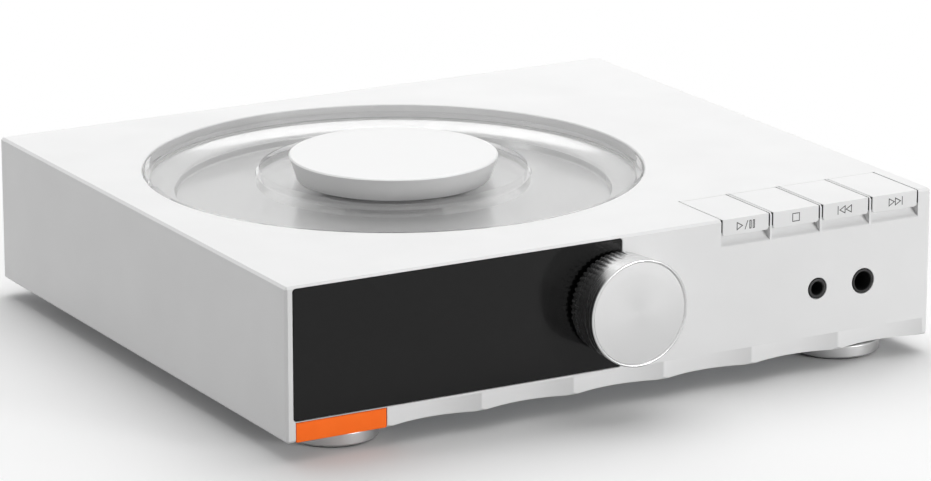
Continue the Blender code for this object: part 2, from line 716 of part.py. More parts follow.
def build_base():
    """Bottom plate with board standoffs, four turned feet and their rubber pads."""
    gap = SEAT_GAP
    base = block("base_plate", (-SIDE_X + SIDE_THICKNESS + gap, inward(FRONT_THICKNESS) + gap, BASE_LOW_Z),
                 (SIDE_X - SIDE_THICKNESS - gap, BACK_Y - PANEL_THICKNESS - gap, BASE_TOP_Z), ZINC_SHEET)
    for x, y, top in standoff_places():
        add(base, rod("standoff", STANDOFF_RADIUS, (x, y, BASE_LOW_Z + gap), (x, y, top - gap),
                      segments=FINE_SEGMENTS))
    shoulder = BOTTOM_Z - FOOT_CLEARANCE
    profile = [(0, BASE_LOW_Z - gap), (FOOT_NECK_RADIUS, BASE_LOW_Z - gap), (FOOT_NECK_RADIUS, shoulder),
               (FOOT_RADIUS - FOOT_CHAMFER, shoulder), (FOOT_RADIUS, shoulder - FOOT_CHAMFER),
               (FOOT_RADIUS, PAD_PROUD + FOOT_CHAMFER), (FOOT_RADIUS - FOOT_CHAMFER, PAD_PROUD),
               (PAD_RADIUS + gap, PAD_PROUD), (PAD_RADIUS + gap, PAD_THICKNESS + gap), (0, PAD_THICKNESS + gap)]
    for side, x in (("left", -SIDE_X + FOOT_SIDE_INSET), ("right", SIDE_X - FOOT_SIDE_INSET)):
        for end, y in (("front", inward(FOOT_FRONT_INSET)), ("back", BACK_Y - FOOT_FRONT_INSET)):
            turned(f"foot_{end}_{side}", profile, TURNED_ALUMINIUM, (x, y, 0), False, SMALL_SEGMENTS)
            rod(f"foot_pad_{end}_{side}", PAD_RADIUS, (x, y, 0), (x, y, PAD_THICKNESS), RUBBER)


def standoff_places():
    """(x, y, top) of the posts under the main, power and socket boards."""
    places = []
    for left, low, right, high in (main_board_box(), power_board_box()):
        for x in (left + 2 * STANDOFF_RADIUS, right - 2 * STANDOFF_RADIUS):
            for y in (low + 2 * STANDOFF_RADIUS, high - 2 * STANDOFF_RADIUS):
                places.append((x, y, BOARD_LOW_Z))
    left, low, right, high = socket_board_box()
    under = depth(SOCKET_DROP + SOCKET_BODY_HEIGHT / 2 + SEAT_GAP + BOARD_THICKNESS)
    for x in (left + 2 * STANDOFF_RADIUS, right - 2 * STANDOFF_RADIUS):
        places.append((x, high - 2 * STANDOFF_RADIUS, under))
    return places


def main_board_box():
    left = -SIDE_X + SIDE_THICKNESS + POST_SIZE + BOARD_SIDE_GAP
    high = BACK_Y - PANEL_THICKNESS - BOARD_BACK_GAP
    return left, high - MAIN_BOARD_DEPTH, left + MAIN_BOARD_WIDTH, high


def power_board_box():
    right = SIDE_X - SIDE_THICKNESS - BOARD_SIDE_GAP
    high = BACK_Y - PANEL_THICKNESS - BOARD_BACK_GAP - POST_SIZE
    return right - POWER_BOARD_WIDTH, high - POWER_BOARD_DEPTH, right, high


def socket_board_box():
    left = SIDE_X - SMALL_SOCKET_INSET - SOCKET_BODY_WIDTH / 2 - SOCKET_BOARD_MARGIN
    right = SIDE_X - LARGE_SOCKET_INSET + SOCKET_BODY_WIDTH / 2 + SOCKET_BOARD_MARGIN
    low = inward(FRONT_THICKNESS) + SEAT_GAP
    return left, low, right, low + SOCKET_BODY_LENGTH + 2 * SOCKET_BOARD_MARGIN + 2 * STANDOFF_RADIUS


def build_well():
    """The turned dish under the top, with its disc floor, lens slot and damper pins."""
    seat_drop = TOP_THICKNESS + SEAT_GAP
    outer = WELL_RADIUS + WELL_FLANGE
    seat = WELL_RADIUS - WELL_SEAT
    steps = 3
    profile = [(outer, -seat_drop)]
    cove = []
    for step in range(steps + 1):
        turn = math.pi / 2 * step / steps
        cove.append((seat - (seat - WELL_STEP_RADIUS) * (1 - math.cos(turn)),
                     -seat_drop - (WELL_STEP_DROP - seat_drop) * math.sin(turn)))
    top_side = [(WELL_HUB_OPENING, -WELL_FLOOR_DROP), (WELL_STEP_RADIUS - WELL_DRAFT, -WELL_FLOOR_DROP)]
    top_side += list(reversed(cove)) + profile
    under_floor = -WELL_FLOOR_DROP - WELL_SHELL
    low_side = [(outer, -seat_drop - WELL_SHELL),
                (WELL_STEP_RADIUS + WELL_SHELL, -WELL_STEP_DROP - WELL_SHELL),
                (WELL_STEP_RADIUS, under_floor), (WELL_HUB_OPENING, under_floor)]
    well = turned("disc_well", top_side + low_side, PAINTED_CASE, (*WELL_AXIS, TOP_Z),
                  segments=LARGE_SEGMENTS)
    shoulder_drop = DECK_DROP + DECK_THICKNESS / 2 - DAMPER_HALF_HEIGHT - SEAT_GAP
    pin_drop = DECK_DROP + DECK_THICKNESS / 2 + DAMPER_HALF_HEIGHT + SEAT_GAP
    start = WELL_FLOOR_DROP + SEAT_GAP
    for number, (x, y) in enumerate(damper_places()):
        add(well, rod("damper_shoulder_%d" % number, DAMPER_SHOULDER_RADIUS, (x, y, depth(shoulder_drop)),
                      (x, y, depth(start)), segments=FINE_SEGMENTS))
        add(well, rod("damper_pin_%d" % number, DAMPER_PIN_RADIUS, (x, y, depth(pin_drop)),
                      (x, y, depth(shoulder_drop - SEAT_GAP)), segments=FINE_SEGMENTS))
    slot_low = WELL_Y + SLED_REST - LENS_HOLDER_RADIUS - LENS_SLOT_MARGIN
    slot_high = WELL_Y + SLED_REST + SLED_TRAVEL + LENS_HOLDER_RADIUS + LENS_SLOT_MARGIN
    half = LENS_SLOT_WIDTH / 2
    slot = rounded_rectangle(WELL_X - half, slot_low - LENS_HOLDER_RADIUS, WELL_X + half, slot_high,
                             half / 2)
    cut(well, plate("lens_slot", [slot], depth(WELL_FLOOR_DROP + WELL_SHELL + OVERRUN),
                    depth(WELL_FLOOR_DROP - OVERRUN)))


def build_cover():
    """The clear cover, dished round its centre, with the turned puck that lifts it."""
    radius = WELL_RADIUS - COVER_CLEARANCE
    chamfer = COVER_EDGE_CHAMFER
    hole = CLAMP_RADIUS + WELL_DRAFT + SEAT_GAP
    under = COVER_DISH_DROP + COVER_THICKNESS
    rim_inside = radius - COVER_RIM_WIDTH
    dish_outside = COVER_DISH_RADIUS + COVER_DISH_WALL
    profile = [(hole, -COVER_DISH_DROP), (COVER_DISH_RADIUS, -COVER_DISH_DROP), (COVER_DISH_RADIUS, -chamfer),
               (COVER_DISH_RADIUS + chamfer, 0), (radius - chamfer, 0), (radius, -chamfer),
               (radius, -TOP_THICKNESS), (rim_inside, -TOP_THICKNESS), (rim_inside, -COVER_THICKNESS),
               (dish_outside, -COVER_THICKNESS), (dish_outside, -under), (hole, -under)]
    cover = turned("cover", profile, CLEAR_PLASTIC, (*WELL_AXIS, TOP_Z), segments=LARGE_SEGMENTS)
    base_drop = COVER_DISH_DROP - SEAT_GAP
    hollow = PUCK_BASE_RADIUS - PUCK_WALL
    roof = PUCK_PROUD - PUCK_TOP_THICKNESS
    pin_end = -CLAMP_DROP + CLAMP_SEAT_STEP + MAGNET_THICKNESS + SEAT_GAP
    profile = [(0, PUCK_PROUD), (PUCK_TOP_RADIUS - PUCK_CHAMFER, PUCK_PROUD),
               (PUCK_TOP_RADIUS, PUCK_PROUD - PUCK_CHAMFER), (PUCK_BASE_RADIUS, -base_drop),
               (hollow, -base_drop), (hollow, roof), (PUCK_PIN_RADIUS, roof), (PUCK_PIN_RADIUS, pin_end),
               (0, pin_end)]
    puck = turned("cover_knob", profile, TURNED_ALUMINIUM, (*WELL_AXIS, TOP_Z), False)
    axis_of("cover_axis", (*WELL_AXIS, TOP_Z), (cover, puck))


def build_clamp_and_turntable():
    """The magnetic disc clamp that hangs in the puck, and the hub on its motor."""
    flange_low = -COVER_DISH_DROP + SEAT_GAP
    flange_top = flange_low + CLAMP_FLANGE_THICKNESS
    seat = CLAMP_RADIUS - CLAMP_SEAT_WIDTH
    face = -CLAMP_DROP + CLAMP_SEAT_STEP
    pocket = face + MAGNET_THICKNESS
    bore = PUCK_PIN_RADIUS + RUNNING_GAP
    profile = [(bore, flange_top), (CLAMP_FLANGE_RADIUS, flange_top), (CLAMP_FLANGE_RADIUS, flange_low),
               (CLAMP_RADIUS, flange_low), (CLAMP_RADIUS, -CLAMP_DROP), (seat, -CLAMP_DROP),
               (seat - CLAMP_SEAT_STEP, face), (MAGNET_RADIUS + SEAT_GAP, face),
               (MAGNET_RADIUS + SEAT_GAP, pocket), (bore, pocket)]
    clamp = turned("disc_clamp", profile, BLACK_PLASTIC, (*WELL_AXIS, TOP_Z), segments=SMALL_SEGMENTS)
    magnet_top = pocket - SEAT_GAP
    profile = [(MAGNET_BORE_RADIUS, magnet_top), (MAGNET_RADIUS, magnet_top), (MAGNET_RADIUS, face),
               (MAGNET_BORE_RADIUS, face)]
    magnet = turned("clamp_magnet", profile, MAGNET_GREY, (*WELL_AXIS, TOP_Z), segments=FINE_SEGMENTS)
    axis_of("clamp_axis", (*WELL_AXIS, TOP_Z), (clamp, magnet))
    seat_z = -DISC_SEAT_DROP
    hub_low = seat_z - HUB_THICKNESS
    neck_low = hub_low - HUB_NECK_LENGTH
    shaft_low = neck_low - SPINDLE_LENGTH
    cone_top = seat_z + HUB_CONE_HEIGHT
    profile = [(0, cone_top), (HUB_CONE_TOP_RADIUS, cone_top), (HUB_CONE_RADIUS, seat_z), (HUB_RADIUS, seat_z),
               (HUB_RADIUS, hub_low), (HUB_NECK_RADIUS, hub_low), (HUB_NECK_RADIUS, neck_low),
               (SPINDLE_RADIUS, neck_low), (SPINDLE_RADIUS, shaft_low), (0, shaft_low)]
    hub = turned("turntable_hub", profile, BLACK_PLASTIC, (*WELL_AXIS, TOP_Z), False, SMALL_SEGMENTS)
    axis_of("turntable_axis", (*WELL_AXIS, TOP_Z), (hub,))
    top = -DECK_DROP - DECK_THICKNESS - SEAT_GAP
    boss = top + MOTOR_BOSS_HEIGHT
    floor = shaft_low - SEAT_GAP
    low = top - MOTOR_HEIGHT
    bore = SPINDLE_RADIUS + RUNNING_GAP
    profile = [(0, floor), (bore, floor), (bore, boss), (MOTOR_BOSS_RADIUS, boss), (MOTOR_BOSS_RADIUS, top),
               (MOTOR_RADIUS, top), (MOTOR_RADIUS, low + MOTOR_CHAMFER), (MOTOR_RADIUS - MOTOR_CHAMFER, low),
               (0, low)]
    turned("spindle_motor", profile, STEEL, (*WELL_AXIS, TOP_Z), False, SMALL_SEGMENTS)


def damper_places():
    left, right = WELL_X - DECK_LEFT + DAMPER_BORDER, WELL_X + DECK_RIGHT - DAMPER_BORDER
    front, back = WELL_Y - DECK_FRONT + DAMPER_BORDER, WELL_Y + DAMPER_BACK
    return [(left, front), (right, front), (left, back), (right, back)]


def build_deck():
    """The sheet deck that carries motor, rods and gears, hung on four rubber dampers."""
    top, low = depth(DECK_DROP), depth(DECK_DROP + DECK_THICKNESS)
    outline = rounded_rectangle(WELL_X - DECK_LEFT, WELL_Y - DECK_FRONT, WELL_X + DECK_RIGHT,
                                WELL_Y + DECK_BACK, DECK_CORNER)
    tower = SLED_TOWER_WIDTH / 2 + SLED_WINDOW_MARGIN
    window = rounded_rectangle(WELL_X - tower, WELL_Y + SLED_REST - tower, WELL_X + tower,
                               WELL_Y + SLED_REST + SLED_TRAVEL + tower, SLED_WINDOW_MARGIN)
    holes = [circle(place_at, DAMPER_WAIST_RADIUS + SEAT_GAP, FINE_SEGMENTS) for place_at in damper_places()]
    holes.append(circle(WELL_AXIS, MOTOR_BOSS_RADIUS + SEAT_GAP, FINE_SEGMENTS))
    deck = plate("traverse_deck", [outline, window] + holes, low, top, "XY", ZINC_SHEET)
    half = ROD_BLOCK_WIDTH / 2
    for side, name in ((-1, "left"), (1, "right")):
        x = WELL_X + side * ROD_SPACING / 2
        for end, y in (("front", WELL_Y + ROD_START), ("back", WELL_Y + ROD_END - ROD_BLOCK_LENGTH)):
            add(deck, block(f"rod_block_{name}_{end}", (x - half, y, depth(ROD_BLOCK_DROP)),
                            (x + half, y + ROD_BLOCK_LENGTH, low + SEAT_GAP)))
        start, end = WELL_Y + ROD_START + SEAT_GAP, WELL_Y + ROD_END - SEAT_GAP
        cut(deck, rod(f"rod_bore_{name}", ROD_RADIUS + SEAT_GAP, (x, start - OVERRUN, depth(ROD_DROP)),
                      (x, end + OVERRUN, depth(ROD_DROP)), segments=FINE_SEGMENTS))
        rod(f"guide_rod_{name}", ROD_RADIUS, (x, start, depth(ROD_DROP)), (x, end, depth(ROD_DROP)),
            STEEL, FINE_SEGMENTS)
    add(deck, rod("gear_pin", GEAR_PIN_RADIUS, (GEAR_X, GEAR_Y, depth(LARGE_GEAR_LOW_DROP)),
                  (GEAR_X, GEAR_Y, low + SEAT_GAP), segments=FINE_SEGMENTS))
    profile_half = DAMPER_HALF_HEIGHT
    groove = DECK_THICKNESS / 2 + SEAT_GAP
    bore = DAMPER_PIN_RADIUS + SEAT_GAP
    profile = [(bore, profile_half), (DAMPER_RADIUS, profile_half), (DAMPER_RADIUS, groove),
               (DAMPER_WAIST_RADIUS, groove), (DAMPER_WAIST_RADIUS, -groove), (DAMPER_RADIUS, -groove),
               (DAMPER_RADIUS, -profile_half), (bore, -profile_half)]
    for number, (x, y) in enumerate(damper_places(), start=1):
        turned("deck_damper_%d" % number, profile, RUBBER, (x, y, (top + low) / 2), segments=FINE_SEGMENTS)


def build_sled():
    """The laser sled on its rods, with its rack, and the lens on top."""
    lens_y = WELL_Y + SLED_REST
    half_width = ROD_SPACING / 2 + SLED_OVERHANG
    half_length = SLED_LENGTH / 2
    sled = block("pickup_sled", (WELL_X - half_width, lens_y - half_length, depth(SLED_BOTTOM_DROP)),
                 (WELL_X + half_width, lens_y + half_length, depth(SLED_TOP_DROP)), BLACK_PLASTIC)
    half_tower = SLED_TOWER_WIDTH / 2
    add(sled, block("sled_tower", (WELL_X - half_tower, lens_y - half_tower, depth(SLED_TOP_DROP + SEAT_GAP)),
                    (WELL_X + half_tower, lens_y + half_tower, depth(SLED_TOWER_TOP_DROP))))
    rack = rack_outline(WELL_X + RACK_LINE, WELL_X + RACK_BACK - SLED_OVERHANG, lens_y, RACK_TEETH)
    add(sled, plate("sled_rack", [rack], depth(RACK_DROP), depth(SLED_BOTTOM_DROP - SEAT_GAP)))
    for side in (-1, 1):
        x = WELL_X + side * ROD_SPACING / 2
        cut(sled, rod("sled_bore_%d" % side, ROD_RADIUS + RUNNING_GAP,
                      (x, lens_y - half_length - OVERRUN, depth(ROD_DROP)),
                      (x, lens_y + half_length + OVERRUN, depth(ROD_DROP)), segments=FINE_SEGMENTS))
    low = -SLED_TOWER_TOP_DROP + LENS_FLOAT
    top = low + LENS_HOLDER_HEIGHT
    profile = [(0, top + LENS_RISE)]
    for step in range(1, 4):
        turn = math.pi / 2 * step / 3
        profile.append((LENS_RADIUS * math.sin(turn), top + LENS_RISE * math.cos(turn)))
    profile += [(LENS_HOLDER_RADIUS - LENS_RIM, top), (LENS_HOLDER_RADIUS, top - LENS_RIM),
                (LENS_HOLDER_RADIUS, low), (0, low)]
    lens = turned("pickup_lens", profile, LENS_GLASS, (WELL_X, lens_y, TOP_Z), False, SMALL_SEGMENTS)
    axis_of("sled_axis", (WELL_X, lens_y, depth(ROD_DROP)), (sled, lens))


def build_feed():
    """Rack and pinion drive: double gear, motor pinion and feed motor."""
    lens_y = WELL_Y + SLED_REST
    small_phase = math.pi - (lens_y - GEAR_Y) / (GEAR_MODULE * SMALL_GEAR_TEETH / 2)
    bore = circle((GEAR_X, GEAR_Y), GEAR_PIN_RADIUS + RUNNING_GAP, FINE_SEGMENTS)
    large_teeth = gear_outline((GEAR_X, GEAR_Y), LARGE_GEAR_TEETH, PINION_ANGLE)
    small_teeth = gear_outline((GEAR_X, GEAR_Y), SMALL_GEAR_TEETH, small_phase)
    gear = plate("feed_gear", [large_teeth, bore], depth(LARGE_GEAR_LOW_DROP), depth(LARGE_GEAR_TOP_DROP),
                 "XY", NATURAL_PLASTIC)
    add(gear, plate("feed_gear_small", [small_teeth, bore], depth(LARGE_GEAR_TOP_DROP + GEAR_STEP),
                    depth(SLED_BOTTOM_DROP)))
    axis_of("feed_gear_axis", (GEAR_X, GEAR_Y, depth(LARGE_GEAR_TOP_DROP)), (gear,))
    motor_top = depth(DECK_DROP + DECK_THICKNESS + SEAT_GAP)
    motor_low = motor_top - FEED_MOTOR_HEIGHT
    shaft_top = motor_low + FEED_SHAFT_LENGTH
    pinion_phase = PINION_ANGLE + math.pi + math.pi / PINION_TEETH
    pinion = plate("feed_pinion", [gear_outline((PINION_X, PINION_Y), PINION_TEETH, pinion_phase)],
                   depth(LARGE_GEAR_LOW_DROP), depth(LARGE_GEAR_TOP_DROP), "XY", NATURAL_PLASTIC)
    shaft_low = depth(LARGE_GEAR_TOP_DROP + GEAR_STEP)
    add(pinion, rod("feed_shaft", FEED_SHAFT_RADIUS, (PINION_X, PINION_Y, shaft_low),
                    (PINION_X, PINION_Y, shaft_top), segments=FINE_SEGMENTS))
    axis_of("feed_pinion_axis", (PINION_X, PINION_Y, motor_low), (pinion,))
    bore = FEED_SHAFT_RADIUS + RUNNING_GAP
    profile = [(0, motor_top), (FEED_MOTOR_RADIUS, motor_top), (FEED_MOTOR_RADIUS, motor_low),
               (bore, motor_low), (bore, shaft_top + SEAT_GAP), (0, shaft_top + SEAT_GAP)]
    turned("feed_motor", profile, STEEL, (PINION_X, PINION_Y, 0), False, SMALL_SEGMENTS)


def build_keys():
    """Four hinged keys on one rod, over a board of push switches."""
    pivot = (inward(KEY_PIVOT_LENGTH), depth(KEY_PIVOT_DROP))
    stem_top = depth(KEY_NUB_DROP + SEAT_GAP)
    stem_y = inward(KEY_NUB_LENGTH)
    for number, name in enumerate(("play", "stop", "previous", "next")):
        left = key_left(number)
        key = build_key("key_" + name, left, pivot)
        middle = left + KEY_WIDTH / 2
        axis_of(f"key_{name}_axis", (middle, *pivot), (key,))
        stem = rod("key_stem_" + name, KEY_STEM_RADIUS, (middle, stem_y, stem_top - KEY_STEM_HEIGHT),
                   (middle, stem_y, stem_top), BLACK_PLASTIC, FINE_SEGMENTS)
        axis_of(f"key_stem_{name}_axis", (middle, stem_y, stem_top), (stem,))
    switch_top = stem_top - KEY_STEM_HEIGHT / 2
    board_top = switch_top - KEY_SWITCH_HEIGHT
    build_key_board(board_top, switch_top)
    build_key_bracket(pivot, board_top)


def build_key(name, left, pivot):
    """One key: a slab bent down in front, a nub for its switch and a bored lug."""
    right, under = left + KEY_WIDTH, depth(KEY_THICKNESS)
    lip_back = inward(KEY_LIP_THICKNESS)
    outline = [(FRONT_Y, TOP_Z), (FRONT_Y, depth(KEY_LIP_HEIGHT)), (lip_back, depth(KEY_LIP_HEIGHT)),
               (lip_back, under), (inward(KEY_LENGTH), under), (inward(KEY_LENGTH), TOP_Z)]
    key = plate(name, [outline], left, right, "YZ", PAINTED_CASE)
    round_key_corners(key.data)
    root, side = under + SEAT_GAP, KEY_NUB_WIDTH / 2
    add(key, block(name + "_nub", (left + side, inward(KEY_NUB_LENGTH) - side, depth(KEY_NUB_DROP)),
                   (right - side, inward(KEY_NUB_LENGTH) + side, root)))
    lug = arc(pivot, KEY_LUG_RADIUS, -math.pi, 0, 5)
    lug = [(lug[0][0], root)] + lug + [(lug[-1][0], root)]
    add(key, plate(name + "_lug", [lug], left + SEAT_GAP, right - SEAT_GAP, "YZ"))
    cut(key, rod(name + "_bore", KEY_ROD_RADIUS + RUNNING_GAP, (left - OVERRUN, *pivot),
                 (right + OVERRUN, *pivot), segments=FINE_SEGMENTS))
    return key


def round_key_corners(mesh):
    """Rounds the two lower corners of a key's front lip."""
    solid = bmesh.new()
    solid.from_mesh(mesh)
    bmesh.ops.dissolve_limit(solid, angle_limit=math.radians(1), verts=solid.verts, edges=solid.edges)
    low = min(vert.co.y for vert in solid.verts) + SEAT_GAP
    edges = [edge for edge in solid.edges
             if all(vert.co.y < low for vert in edge.verts) and edge.verts[0].co.z * edge.verts[1].co.z > 0]
    bmesh.ops.bevel(solid, geom=edges, offset=KEY_CORNER, segments=3, profile=0.5, affect="EDGES")
    solid.to_mesh(mesh)
    solid.free()


def build_key_board(board_top, switch_top):
    left, right = key_left(0), key_left(KEY_COUNT - 1) + KEY_WIDTH
    board = block("key_board", (left, inward(KEY_BOARD_START), board_top - BOARD_THICKNESS),
                  (right, inward(KEY_BOARD_START + KEY_BOARD_LENGTH), board_top), GREEN_BOARD)
    half = KEY_SWITCH_SIZE / 2
    y = inward(KEY_NUB_LENGTH)
    for number in range(KEY_COUNT):
        x = key_left(number) + KEY_WIDTH / 2
        add(board, block("key_switch_%d" % number, (x - half, y - half, board_top - SEAT_GAP),
                         (x + half, y + half, switch_top)))
        cut(board, rod("key_switch_well_%d" % number, KEY_STEM_RADIUS + RUNNING_GAP,
                       (x, y, switch_top - KEY_SWITCH_WELL), (x, y, switch_top + OVERRUN),
                       segments=FINE_SEGMENTS))


def build_key_bracket(pivot, board_top):
    """A bent sheet under the top: it holds the key rod in five ears and the board on its shelf."""
    sheet = BRACKET_THICKNESS
    web_front = inward(KEY_LENGTH + BRACKET_STANDOFF)
    web_back = web_front + sheet
    top = depth(TOP_THICKNESS + SEAT_GAP)
    shelf_top = board_top - BOARD_THICKNESS - SEAT_GAP
    shelf_front = inward(KEY_BOARD_START)
    outline = [(web_front, top), (web_back + BRACKET_FLANGE, top), (web_back + BRACKET_FLANGE, top - sheet),
               (web_back, top - sheet), (web_back, shelf_top - sheet), (shelf_front, shelf_top - sheet),
               (shelf_front, shelf_top), (web_front, shelf_top)]
    left, right = key_left(0) - KEY_SPACING, key_left(KEY_COUNT - 1) + KEY_WIDTH + KEY_SPACING
    bracket = plate("key_bracket", [outline], left, right, "YZ", ZINC_SHEET)
    ear = arc(pivot, EAR_RADIUS, math.pi / 2 * 3, math.pi / 2, 4)
    high = min(pivot[1] + EAR_RADIUS, top)
    ear = [(y, min(z, high)) for y, z in ear]
    ear = [(web_front + sheet / 2, ear[0][1])] + ear + [(web_front + sheet / 2, high)]
    hole = circle(pivot, KEY_ROD_RADIUS + SEAT_GAP, FINE_SEGMENTS)
    for number in range(KEY_COUNT + 1):
        x = key_left(number) - KEY_SPACING / 2 - EAR_THICKNESS / 2
        add(bracket, plate("ear_%d" % number, [ear, hole], x, x + EAR_THICKNESS, "YZ"))
    rod("key_rod", KEY_ROD_RADIUS, (left, *pivot), (right, *pivot), STEEL, FINE_SEGMENTS)


def ribbed_circle(radius):
    """The knob's outline: ribs with a groove between each two."""
    points = []
    for rib in range(2 * KNOB_RIBS):
        angle = math.pi * rib / KNOB_RIBS
        reach = radius - KNOB_RIB_DEPTH * (rib % 2)
        points.append((KNOB_X + reach * math.cos(angle), KNOB_Z + reach * math.sin(angle)))
    return points


def build_knob():
    """The ribbed, slightly flared knob on a turn-and-push encoder."""
    back, face = inward(-KNOB_STANDOFF), inward(-KNOB_PROTRUSION)
    rim_back = face + KNOB_RIM_DEPTH
    knob = plate("volume_knob", [ribbed_circle(KNOB_FACE_RADIUS)], rim_back, back, "XZ", TURNED_ALUMINIUM)
    shape_knob_side(knob)
    core = KNOB_FACE_RADIUS - KNOB_RIB_DEPTH * KNOB_RIB_END_SHARE - SEAT_GAP
    disc = [(0, KNOB_PROTRUSION - KNOB_FACE_DISH), (core - KNOB_RIM, KNOB_PROTRUSION - KNOB_FACE_DISH),
            (core - KNOB_RIM, KNOB_PROTRUSION), (core - KNOB_RIM / 2, KNOB_PROTRUSION),
            (core, KNOB_PROTRUSION - KNOB_RIM / 2), (core, KNOB_PROTRUSION - KNOB_RIM_DEPTH - SEAT_GAP),
            (0, KNOB_PROTRUSION - KNOB_RIM_DEPTH - SEAT_GAP)]
    front = turned("knob_face", disc, location=(KNOB_X, FRONT_Y, KNOB_Z), closed=False)
    front.rotation_euler = (math.radians(90), 0, 0)
    add(knob, front)
    cut(knob, rod("knob_cavity", KNOB_CAVITY_RADIUS, (KNOB_X, back + OVERRUN, KNOB_Z),
                  (KNOB_X, back - KNOB_CAVITY_DEPTH, KNOB_Z)))
    cut(knob, rod("knob_bore", SHAFT_RADIUS + SEAT_GAP, (KNOB_X, back + OVERRUN, KNOB_Z),
                  (KNOB_X, inward(-SHAFT_KNOB_DEPTH - SEAT_GAP), KNOB_Z)))
    shaft_back = inward(FRONT_THICKNESS + SEAT_GAP + ENCODER_SHAFT_DEPTH)
    shaft = rod("encoder_shaft", SHAFT_RADIUS, (KNOB_X, shaft_back, KNOB_Z),
                (KNOB_X, inward(-SHAFT_KNOB_DEPTH), KNOB_Z), STEEL)
    axis_of("knob_axis", (KNOB_X, FRONT_Y, KNOB_Z), (knob, shaft))
    body_front = inward(FRONT_THICKNESS + SEAT_GAP)
    half = ENCODER_SIZE / 2
    body = block("encoder_body", (KNOB_X - half, body_front, KNOB_Z - half),
                 (KNOB_X + half, body_front + ENCODER_DEPTH, KNOB_Z + half), ZINC_SHEET)
    add(body, rod("encoder_bush", BUSH_RADIUS, (KNOB_X, body_front + SEAT_GAP, KNOB_Z),
                  (KNOB_X, inward(-BUSH_PROUD), KNOB_Z)))
    cut(body, rod("shaft_bore", SHAFT_RADIUS + RUNNING_GAP, (KNOB_X, inward(-BUSH_PROUD - OVERRUN), KNOB_Z),
                  (KNOB_X, shaft_back + PUSH_TRAVEL + SEAT_GAP, KNOB_Z)))
    push_front = shaft_back + SEAT_GAP
    push_back = push_front + PUSH_LENGTH
    cut(body, rod("push_bore", PUSH_RADIUS + RUNNING_GAP, (KNOB_X, push_front, KNOB_Z),
                  (KNOB_X, push_back + PUSH_TRAVEL + SEAT_GAP, KNOB_Z), segments=FINE_SEGMENTS))
    push = rod("encoder_push", PUSH_RADIUS, (KNOB_X, push_front, KNOB_Z), (KNOB_X, push_back, KNOB_Z),
               BLACK_PLASTIC, FINE_SEGMENTS)
    axis_of("push_axis", (KNOB_X, push_front, KNOB_Z), (push,))


def shape_knob_side(knob):
    """Narrows the knob's back end, and lets its grooves run out towards the front."""
    for vert in knob.data.vertices:
        across, up = vert.co.x - KNOB_X, vert.co.y - KNOB_Z
        reach = math.hypot(across, up)
        groove = KNOB_FACE_RADIUS - reach
        wanted = KNOB_FACE_RADIUS - groove * KNOB_RIB_END_SHARE
        if vert.co.z < 0:
            wanted = KNOB_BASE_RADIUS - groove
        vert.co.x = KNOB_X + across * wanted / reach
        vert.co.y = KNOB_Z + up * wanted / reach


def build_front_sockets():
    """Two headphone sockets on their own board."""
    z = depth(SOCKET_DROP)
    body_front = inward(FRONT_THICKNESS + SEAT_GAP)
    half_width, half_height = SOCKET_BODY_WIDTH / 2, SOCKET_BODY_HEIGHT / 2
    sockets = (("socket_large", LARGE_SOCKET_INSET, LARGE_BEZEL_RADIUS, LARGE_BORE_RADIUS),
               ("socket_small", SMALL_SOCKET_INSET, SMALL_BEZEL_RADIUS, SMALL_BORE_RADIUS))
    for name, inset, bezel, bore in sockets:
        x = SIDE_X - inset
        socket = block(name, (x - half_width, body_front, z - half_height),
                       (x + half_width, body_front + SOCKET_BODY_LENGTH, z + half_height), BLACK_PLASTIC)
        add(socket, rod(name + "_bezel", bezel, (x, body_front + SEAT_GAP, z), (x, FRONT_Y, z)))
        cut(socket, rod(name + "_bore", bore, (x, FRONT_Y - OVERRUN, z), (x, inward(SOCKET_BORE_DEPTH), z)))
    left, low, right, high = socket_board_box()
    board_top = z - half_height - SEAT_GAP
    block("socket_board", (left, low, board_top - BOARD_THICKNESS), (right, high, board_top), GREEN_BOARD)


def build_boards():
    """The main board and the power board on the bottom plate's standoffs."""
    left, low, right, high = main_board_box()
    main = block("main_board", (left, low, BOARD_LOW_Z), (right, high, BOARD_TOP_Z), GREEN_BOARD)
    width, length = right - left, high - low
    root = BOARD_TOP_Z - SEAT_GAP
    for number, (across, along, size) in enumerate(CHIP_SHARES):
        x, y = left + width * across, low + length * along
        half = width * size / 2
        add(main, block("chip_%d" % number, (x - half, y - half, root),
                        (x + half, y + half, BOARD_TOP_Z + CHIP_HEIGHT)))
    left, low, right, high = power_board_box()
    power = block("power_board", (left, low, BOARD_LOW_Z), (right, high, BOARD_TOP_Z), GREEN_BOARD)
    width, length = right - left, high - low
    top = BOARD_TOP_Z + TRANSFORMER_HEIGHT
    left_share, low_share, right_share, high_share = TRANSFORMER_SHARES
    add(power, block("transformer", (left + width * left_share, low + length * low_share, root),
                     (left + width * right_share, low + length * high_share, top)))
    for number, (across, along) in enumerate(CAPACITOR_SHARES):
        x, y = left + width * across, low + length * along
        add(power, rod("capacitor_%d" % number, CAPACITOR_RADIUS, (x, y, root), (x, y, top),
                       segments=FINE_SEGMENTS))


